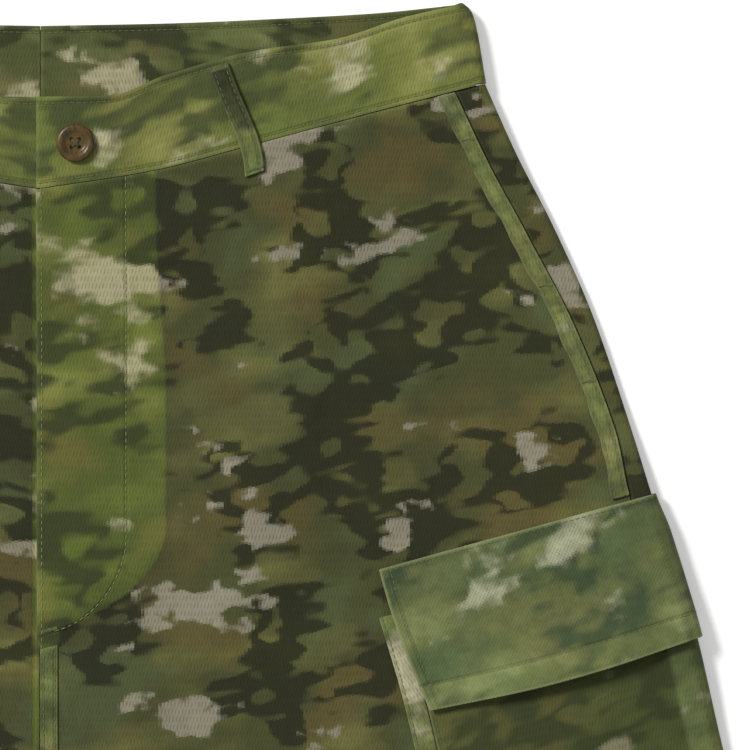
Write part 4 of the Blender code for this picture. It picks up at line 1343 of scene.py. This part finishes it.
def rows_on_leg(side):
    """The hem, the side band, the seat seam, and the side seam below the pocket."""
    inner = float(inner_edge(side, HEM_DOWN - HEM_FOLD, "front")) - 1.5
    front, back = steps(inner, TURN_FRONT), steps(TURN_BACK, inner)
    yield round_the_leg(leg_skin, side, HEM_DOWN - HEM_FOLD, front, back, ON_CLOTH)
    down = steps(2.5, SIDE_BAND_DOWN - 2.5)
    for from_seam in (SIDE_BAND_STITCH, SIDE_BAND_SHOWN - SIDE_BAND_STITCH):
        yield leg_skin(side, down, "front", seam_inset(down) + from_seam, ON_COVER)
    down = steps(2.0, RISE_DOWN - 2.5)
    for from_centre in SEAT_STITCHES:
        yield leg_skin(side, down, "back", inset_of_x(down, "back", from_centre), ON_CLOTH)
    down = steps(POCKET_DOWN[1] + 1.5, HEM_DOWN - 1.0)
    yield leg_skin(side, down, "front", seam_inset(down) + SIDE_SEAM_STITCH, ON_CLOTH)


def rows_on_band(side):
    """Both edges of the waistband, all round, and its top edge again on the inner face."""
    start = FLY_EDGE_X + 2.0 if side > 0 else 1.0
    stretches = [("front", steps(start, 196.0)), ("fold", FOLD_STEPS), ("back", steps(196.0, 1.5))]
    for edge in BAND_STITCHES:
        yield joined(*[band_skin(side, edge, face, value, ON_BAND) for face, value in stretches])
    yield band_skin(side, BAND_STITCHES[0], "back", steps(182.0, 1.5), -ON_BAND)


print("rows on a leg:", len(list(rows_on_leg(1))), "and on its half of the waistband:",
      len(list(rows_on_band(1))))

# %% Rows on pockets, flaps and fly
def rows_on_pocket(side):
    """Foot and sides of the pocket, and the outer edges of its gussets."""
    edge = POCKET_EDGE_INSET - POCKET_STITCH
    end = WRAP_POCKET - WRAP_STITCH
    foot = POCKET_DOWN[1] - FOOT_STITCH
    yield round_the_leg(pocket_skin, side, foot, steps(edge, TURN_FRONT), steps(TURN_BACK, end), ON_CLOTH)
    down = steps(POCKET_DOWN[0] + 1.0, foot)
    yield pocket_skin(side, down, "front", edge, ON_CLOTH)
    yield pocket_skin(side, down, "back", end, ON_CLOTH)
    down = steps(POCKET_DOWN[0] + 1.0, POCKET_DOWN[1] - 1.0)
    yield leg_skin(side, down, "front", POCKET_EDGE_INSET + SEAM_GAP + GUSSET_STITCH, ON_COVER)
    yield leg_skin(side, down, "back", WRAP_POCKET + SEAM_GAP + GUSSET_STITCH, ON_COVER)


def rows_on_flap(side):
    """The flap's seam and its hem, all round, and its two ends."""
    top, hem = FLAP_DOWN[0] + 1.7, FLAP_DOWN[1] - FLAP_HEM
    end = WRAP_FLAP - WRAP_STITCH
    for at in (top, hem):
        front = steps(float(flap_edge(at)) - FLAP_STITCH, TURN_FRONT)
        yield round_the_leg(flap_skin, side, at, front, steps(TURN_BACK, end), ON_FLAP)
    down = steps(top, hem)
    yield flap_skin(side, down, "front", flap_edge(down) - FLAP_STITCH, ON_FLAP)
    yield flap_skin(side, steps(*FLAP_DOWN)[1:-1], "back", end, ON_FLAP)


def rows_on_fly():
    """The fly's edge, and the J beside it."""
    down = steps(1.5, FLY_OVERLAP_DOWN + 6.0)
    yield leg_skin(1, down, "front", inset_of_x(down, "front", FLY_EDGE_X + FLY_STITCH), ON_CLOTH)
    bend = np.sin(np.linspace(0.0, math.pi / 2, 24))[1:]
    round_foot = FLY_STRAIGHT_DOWN + (FLY_FOOT_DOWN - FLY_STRAIGHT_DOWN) * bend
    down = np.concatenate([steps(1.5, FLY_STRAIGHT_DOWN), round_foot])
    j_x = fly_edge_x(J_STITCH_X, down)
    yield leg_skin(1, down, "front", inset_of_x(down, "front", j_x), ON_CLOTH)


print("rows on a pocket:", len(list(rows_on_pocket(1))), "on a flap:", len(list(rows_on_flap(1))),
      "on the fly:", len(list(rows_on_fly())))

# %% All the lines to sew
lines = []
loop_part = np.linspace(0.03, 0.97, 24)
for side in (1, -1):
    for rows in (rows_on_leg, rows_on_band, rows_on_pocket, rows_on_flap):
        lines += rows(side)
    for aside in (-LOOP_STITCH, LOOP_STITCH):
        lines.append(loop_skin(side, FRONT_LOOP, front_loop_height(side), loop_part, aside, ON_CLOTH))
        lines.append(loop_skin(side, BACK_LOOP, lying_loop_height, loop_part, aside, -ON_CLOTH))
for aside in (-LOOP_STITCH, LOOP_STITCH):
    lines.append(loop_skin(1, CENTRE_LOOP, lying_loop_height, loop_part, aside, -ON_CLOTH))
rise_down = steps(FLY_FOOT_DOWN + 7.0, RISE_DOWN - 1.0)
for from_edge in RISE_STITCHES:
    lines.append(leg_skin(1, rise_down, "front", inner_edge(1, rise_down, "front") - from_edge, ON_RISE))
fly_lines = list(rows_on_fly())
print("lines to sew:", len(lines), "of", sum(len(np.ravel(line[2])) for line in lines), "places")

# %% Bar tacks to sew
SIDE_BAND_TACKS = (24.0, 101.0, 150.0)  # distances down the side
LOOP_TACKS = (0.035, 0.955)     # parts of a belt loop's length


def tack_on_leg(side, at, inset, above):
    """A tack across the front of the leg, at one distance down."""
    return leg_skin(side, at + 0 * inset, "front", inset, above)


tacks = []
over_band = np.linspace(1.2, SIDE_BAND_SHOWN - 1.2, 8)
over_loop = np.linspace(-4.0, 4.0, 8)
over_gusset = POCKET_EDGE_INSET + SEAM_GAP + np.linspace(1.5, 9.0, 8)
for side in (1, -1):
    for at in SIDE_BAND_TACKS:
        tacks.append(tack_on_leg(side, at, float(seam_inset(at)) + over_band, ON_COVER))
    for part in LOOP_TACKS:
        tacks.append(loop_skin(side, FRONT_LOOP, front_loop_height(side), part, over_loop, ON_CLOTH))
        tacks.append(loop_skin(side, BACK_LOOP, lying_loop_height, part, over_loop, -ON_CLOTH))
    tacks.append(tack_on_leg(side, POCKET_DOWN[1] - 3.2, over_gusset, ON_COVER))
for part in LOOP_TACKS:
    tacks.append(loop_skin(1, CENTRE_LOOP, lying_loop_height, part, over_loop, -ON_CLOTH))
over_foot = inset_of_x(FLY_FOOT_DOWN - 1.0, "front", np.linspace(1.5, 8.0, 7))
tacks.append(tack_on_leg(1, FLY_FOOT_DOWN - 1.0, over_foot, ON_CLOTH))
print("bar tacks:", len(tacks))

# %% [markdown]
# ## Thread
# Sewing thread is twisted from two plies. At this size a twist is a fine slanting bump, and the colour is
# a soft olive that sinks into the cloth. The fly is sewn in a paler and slightly thicker thread. Two
# plies could be modelled, but they would cost thousands of faces and be finer than the mesh of the cloth.

# %% Thread, and the sewing itself
def thread_material(name, code):
    """Twisted thread of one colour, a little uneven."""
    material, bench, shader = new_material(name)
    x, y, z = bench.parts(bench.node("ShaderNodeTexCoord", None, None, "Object"))
    twist = ((x + y + z) * (2 * math.pi / (0.5 * MM))).cosine() * 0.5 + 0.5
    cloud = bench.noise(x / (6.0 * MM), y / (6.0 * MM), 4.0)
    bench.fill(shader, {
        # painted shade: the thread is darker in the grooves of its twist, where the bump is lowest
        "Base Color": bench.scaled(tone(code)[:3], 0.78 + twist * 0.22 + (cloud - 0.5) * 0.5),
        "Normal": bench.bump(twist, 0.4, 0.1 * MM),
        "Roughness": 0.62 + twist * 0.1,
        "Specular IOR Level": 0.3,
    })
    return material


seam_thread = thread_material("olive thread", "6e744c")
stitching = sew("stitching", lines, sewing_tree, Pitch=3.0 * MM, Length=2.6 * MM, Thickness=0.42 * MM,
                Turn=0.0, Seed=3, Thread=seam_thread)
fly_stitching = sew("fly_stitching", fly_lines, sewing_tree, Pitch=3.2 * MM, Length=2.5 * MM,
                    Thickness=0.5 * MM, Turn=0.0, Seed=5, Thread=thread_material("pale thread", "868e5c"))
bar_tacks = sew("bar_tacks", tacks, sewing_tree, Pitch=0.45 * MM, Length=2.0 * MM, Thickness=0.45 * MM,
                Turn=math.pi / 2, Seed=8, Thread=seam_thread)

# %% [markdown]
# ## Waist button
# The button is a turned disc of brown horn-like plastic: a dished middle with four holes, a raised rim and
# a rounded underside. It could be built up from cylinders and a torus, but a lathe makes the real one, so
# one outline is spun with a Screw modifier, and the holes are cut with cylinders as a drill would.

# %% Outline and horn of the button
RimPoint = namedtuple("RimPoint", "radius height")
BUTTON_OUTLINE = (RimPoint(0.0, 1.45), RimPoint(3.2, 1.45), RimPoint(4.6, 1.6), RimPoint(5.6, 2.45),
                  RimPoint(6.6, 2.88), RimPoint(7.6, 2.88), RimPoint(8.5, 2.45), RimPoint(9.0, 1.6),
                  RimPoint(8.7, 0.9), RimPoint(7.6, 0.25), RimPoint(6.2, 0.0), RimPoint(0.0, 0.0))
HOLE_RADIUS = 0.95
HOLE_OFFSET = 1.75          # from the middle to a hole, along x and along y


def rounded(points):
    """Cut every corner of an open outline twice, so that it turns softly."""
    for _ in range(2):
        cut = [points[0]]
        for a, b in zip(points, points[1:]):
            for near in (0.75, 0.25):
                cut.append(tuple(near * p + (1 - near) * q for p, q in zip(a, b)))
        points = cut + [points[-1]]
    return points


def horn_material():
    """Brown moulded horn: streaks and clouds under a soft polish."""
    material, bench, shader = new_material("brown horn")
    x, y = bench.parts(bench.node("ShaderNodeTexCoord", None, None, "Object"))[:2]
    streaks = bench.noise((x + y * 0.4) / (1.3 * MM), (y - x * 0.4) / (7.0 * MM), 2.0, 3.0, 0.6)
    clouds = bench.noise(x / (5.0 * MM), y / (5.0 * MM), 9.0, 2.0, 0.5)
    colour = bench.blend(bench.soft_step(streaks, 0.35, 0.65), tone("322608"), tone("523e12"))
    bench.fill(shader, {
        "Base Color": bench.blend(bench.soft_step(clouds, 0.45, 0.7), colour, tone("5b3f16")),
        "Normal": bench.bump(streaks, 0.2, 0.1 * MM),
        "Roughness": streaks * 0.2 + 0.24,
        "Specular IOR Level": 0.25,
        "Coat Weight": 0.08,
        "Coat Roughness": 0.2,
    })
    return material


horn = horn_material()
print("finish:", horn.name, "outline, mm across:", 2 * max(point.radius for point in BUTTON_OUTLINE))

# %% Disc of the button
def plain_copy(piece, name):
    """A piece's shown shape as a plain mesh at the origin, in a new object; the first is deleted."""
    shown = piece.evaluated_get(bpy.context.evaluated_depsgraph_get())
    mesh = bpy.data.meshes.new_from_object(shown)
    mesh.transform(piece.matrix_world)
    mesh.name = name
    bpy.data.objects.remove(piece)
    return placed(name, mesh)


def turned_button():
    """The button's disc, spun and drilled, and the middle of its underside."""
    low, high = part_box("waist_button")
    seat = Vector(((low.x + high.x) / 2, (low.y + high.y) / 2, low.z))
    outline = rounded([tuple(point) for point in BUTTON_OUTLINE])
    mesh = bpy.data.meshes.new("button outline")
    mesh.from_pydata([(radius * MM, 0.0, height * MM) for radius, height in outline],
                     [(i, i + 1) for i in range(len(outline) - 1)], [])
    disc = placed("button outline", mesh)
    disc.location = seat
    turn = disc.modifiers.new("turned", "SCREW")
    turn.steps = turn.render_steps = 72
    turn.use_merge_vertices = True
    turn.merge_threshold = 0.02 * MM
    drills = []
    for sign_x, sign_y in ((1, 1), (-1, 1), (-1, -1), (1, -1)):
        drill_mesh = bpy.data.meshes.new("drill")
        shape = bmesh.new()
        bmesh.ops.create_cone(shape, cap_ends=True, segments=20, radius1=HOLE_RADIUS * MM,
                              radius2=HOLE_RADIUS * MM, depth=8 * MM)
        shape.to_mesh(drill_mesh)
        shape.free()
        drill = placed("drill", drill_mesh)
        drill.location = seat + Vector((sign_x * HOLE_OFFSET * MM, sign_y * HOLE_OFFSET * MM, 0.0))
        hole = disc.modifiers.new("hole", "BOOLEAN")
        hole.operation = "DIFFERENCE"
        hole.solver = "EXACT"
        hole.object = drill
        drills.append(drill)
    button = plain_copy(disc, "waist_button_horn")
    for drill in drills:
        bpy.data.objects.remove(drill)
    shape = bmesh.new()
    shape.from_mesh(button.data)
    bmesh.ops.recalc_face_normals(shape, faces=shape.faces)
    shape.to_mesh(button.data)
    shape.free()
    button.data.shade_smooth()
    button.data.set_sharp_from_angle(angle=math.radians(38.0))
    button.data.materials.clear()
    button.data.materials.append(horn)
    return button, seat


waist_button, button_seat = turned_button()
print("button faces:", len(waist_button.data.polygons))

# %% [markdown]
# A few strands of thread cross the button's middle from hole to hole, in two bundles. The stitching tree
# makes only short beads, so each strand is a curve with a round bevel, which dives into its two holes.

# %% Thread in the button
STRAND_LIES = 1.62          # height of a strand where it leaves a hole
STRAND_ARCH = 0.35          # it rises this much more at the middle
STRAND_DIVE = 0.9           # and its ends go down into the holes as far as this
STRAND_COURSES = ((math.pi / 4, 0.0), (3 * math.pi / 4, 0.12))  # headings; the second lies higher
STRANDS_ASIDE = (-0.42, -0.14, 0.14, 0.42)


def button_thread(seat):
    """Strands from hole to hole, each a short arch, as one mesh."""
    curve = bpy.data.curves.new("button thread", "CURVE")
    curve.dimensions = "3D"
    curve.bevel_depth = 0.2 * MM
    curve.bevel_resolution = 2
    for heading, over in STRAND_COURSES:
        for aside in STRANDS_ASIDE:
            spline = curve.splines.new("POLY")
            spline.points.add(10)
            for i, point in enumerate(spline.points):
                part = i / 10 * 2 - 1
                along = part * HOLE_OFFSET * math.sqrt(2)
                arch = STRAND_ARCH * math.sqrt(max(1 - part ** 2, 0))
                rise = STRAND_LIES + arch - STRAND_DIVE * abs(part) ** 8 + over
                x = along * math.cos(heading) - aside * math.sin(heading)
                y = along * math.sin(heading) + aside * math.cos(heading)
                point.co = (seat.x + x * MM, seat.y + y * MM, seat.z + rise * MM, 1.0)
    piece = plain_copy(placed("button thread", curve), "button_thread")
    piece.data.materials.append(thread_material("brown thread", "4f4a2e"))
    return piece


strands = button_thread(button_seat)
print("thread faces:", len(strands.data.polygons))

# %% [markdown]
# ## Light, floor and camera
# The shorts lie on a white table under soft light from the upper left. The lamp and the sky together give
# a level surface exactly the light at which a colour looks as it was mixed. Several area lamps could do
# it, but one wide sun and an even sky light the cloth alike from edge to edge. The camera looks straight
# down on the wearer's left half, as a close-up of it would.

# %% Light, floor and camera
SKY_LIGHT = 0.36            # share of the light that comes from all round
LAMP_TILT = 51.0            # degrees of the lamp from straight above
LAMP_FROM = 145.0           # and its bearing, anticlockwise from the wearer's left
FRAME_SIDE = 0.3525         # side of the square that the camera takes in
LENS = 200.0
SENSOR = 36.0
VIEW_X = 0.1575             # the middle of that square
VIEW_Y = 0.107
CLOTH_HEIGHT = 0.006        # height of the cloth that fills it
FLOOR_GLOW = 0.3            # brightens the table as seen, and lights nothing


def seen_directly(bench):
    """1 where the camera sees a thing itself or in a polish, and 0 where it only gives light."""
    rays = bench.tree.nodes.new("ShaderNodeLightPath")
    camera, glossy, clear = (Link(bench, rays.outputs[f"Is {kind} Ray"])
                             for kind in ("Camera", "Glossy", "Transmission"))
    return camera.larger(glossy).larger(clear)


scene = bpy.context.scene
scene.view_settings.view_transform = "Standard"
world = bpy.data.worlds.new("studio")
scene.world = world
world.use_nodes = True
bench = Bench(world.node_tree)
sky = world.node_tree.nodes["Background"]
bench.feed(sky.inputs["Strength"], seen_directly(bench) * (1.0 - SKY_LIGHT) + SKY_LIGHT)
sky.inputs["Color"].default_value = (1.0, 1.0, 1.0, 1.0)

lamp_data = bpy.data.lights.new("window", "SUN")
lamp_data.energy = math.pi * (1.0 - SKY_LIGHT) / math.cos(math.radians(LAMP_TILT))
lamp_data.angle = math.radians(16.0)
lamp = placed("window", lamp_data)
lamp.rotation_euler = (0.0, math.radians(LAMP_TILT), math.radians(LAMP_FROM))

floor_mesh = bpy.data.meshes.new("table")
plate = bmesh.new()
bmesh.ops.create_grid(plate, x_segments=1, y_segments=1, size=4.0)
plate.to_mesh(floor_mesh)
plate.free()
floor = placed("table", floor_mesh)
floor.location = (0.0, 0.0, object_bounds()[0].z - 0.0002)
white, bench, shader = new_material("white table")
bench.fill(shader, {
    "Base Color": (0.92, 0.92, 0.92, 1.0),
    "Roughness": 1.0,
    "Specular IOR Level": 0.0,
    "Emission Color": bench.blend(seen_directly(bench), (0.0, 0.0, 0.0, 1.0), (FLOOR_GLOW,) * 3 + (1.0,)),
    "Emission Strength": 1.0,
})
floor_mesh.materials.append(white)

camera_data = bpy.data.cameras.new("camera")
camera_data.lens = LENS
camera_data.sensor_width = SENSOR
camera = placed("camera", camera_data)
camera.location = (VIEW_X, VIEW_Y, CLOTH_HEIGHT + FRAME_SIDE * LENS / SENSOR)
scene.camera = camera
print("camera height, m:", round(camera.location.z, 3))

# %% [markdown]
# ## The pieces and their solids
# Each piece is listed with the solid that it stands for, the name of a finish and how it lies. The sizes of
# the cut are measured on the sheets themselves.

# %% What each piece stands for
Dressed = namedtuple("Dressed", "piece node slot held rests_on")
DRESSED = [
    Dressed(front_left, "front_left", "body_cloth", "laid", ["back_left"]),
    Dressed(front_right, "front_right", "body_cloth", "laid", ["back_right"]),
    Dressed(back_left, "back_left", "body_cloth", "folded", []),
    Dressed(back_right, "back_right", "body_cloth", "folded", []),
    Dressed(waistband_left, "waistband_left", "doubled_cloth", "folded", []),
    Dressed(waistband_right, "waistband_right", "doubled_cloth", "folded", []),
    Dressed(fly_shield, "fly_shield", "doubled_cloth", "laid", ["front_right"]),
    Dressed(fly_facing, "fly_facing", "doubled_cloth", "laid", ["fly_shield"]),
    Dressed(rise_cover, "rise_band", "doubled_cloth", "laid", ["front_left"]),
]
for hand in ("left", "right"):
    for name, node, slot, held, under in (
        ("side_band_cloth", "side_band", "doubled_cloth", "laid", ["front"]),
        ("pocket_cloth", "cargo_pocket", "body_cloth", "folded", ["front"]),
        ("gusset_cloth_front", "cargo_gusset_front", "doubled_cloth", "laid", ["front"]),
        ("gusset_cloth_back", "cargo_gusset_back", "doubled_cloth", "laid", []),
        ("flap_cloth", "cargo_flap", "doubled_cloth", "folded", ["cargo_pocket"]),
    ):
        rests_on = [f"{node_under}_{hand}" for node_under in under]
        DRESSED.append(Dressed(sewn_on[name, hand], f"{node}_{hand}", slot, held, rests_on))
    DRESSED += [
        Dressed(belt_loops[f"front_{hand}"], f"belt_loop_front_{hand}", "doubled_cloth", "laid",
                [f"waistband_{hand}"]),
        Dressed(belt_loops[f"back_{hand}"], f"belt_loop_back_{hand}", "doubled_cloth", "laid", []),
    ]
DRESSED.append(Dressed(belt_loops["centre"], "belt_loop_centre", "doubled_cloth", "laid", []))
print("sheets of cloth:", len(DRESSED))

# %% Ride and replace
NARROWEST = 0.0105          # a sheet's width is printed as at least this, in metres
LEAST_FILLED = 0.3          # and at least this part of its box as its area


def cut_size(piece):
    """Width, length and area of a sheet's net in metres, before its modifiers."""
    mesh = piece.data
    uv = np.empty(len(mesh.loops) * 2, np.float32)
    mesh.uv_layers["cut"].data.foreach_get("uv", uv)
    spread = uv.reshape(-1, 2).max(0) - uv.reshape(-1, 2).min(0)
    area = np.empty(len(mesh.polygons), np.float32)
    mesh.polygons.foreach_get("area", area)
    return float(spread[0]), float(spread[1]), float(area.sum())


def fit(piece, node):
    """Greatest distance, in millimetres, between a piece's box and its solid's box."""
    shown = piece.evaluated_get(bpy.context.evaluated_depsgraph_get())
    corners = np.array([tuple(corner) for corner in shown.bound_box])
    low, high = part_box(node)
    apart = np.abs(np.concatenate([corners.min(0) - np.array(low), corners.max(0) - np.array(high)]))
    return float(apart.max() / MM)


for one in DRESSED:
    apart = fit(one.piece, one.node)
    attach(one.piece, "root")
    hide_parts(one.node)
    width, length, area = cut_size(one.piece)
    width, length = max(width, NARROWEST), max(length, NARROWEST)
    area = min(max(area, LEAST_FILLED * width * length), width * length)
    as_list(one.rests_on)
    print(f"{one.piece.name}: {width:.3f} x {length:.3f} m, area {area:.4f}, off its solid {apart:.1f} mm")

for piece in (stitching, fly_stitching, bar_tacks, waist_button, strands):
    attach(piece, "root")
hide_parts("waist_button")
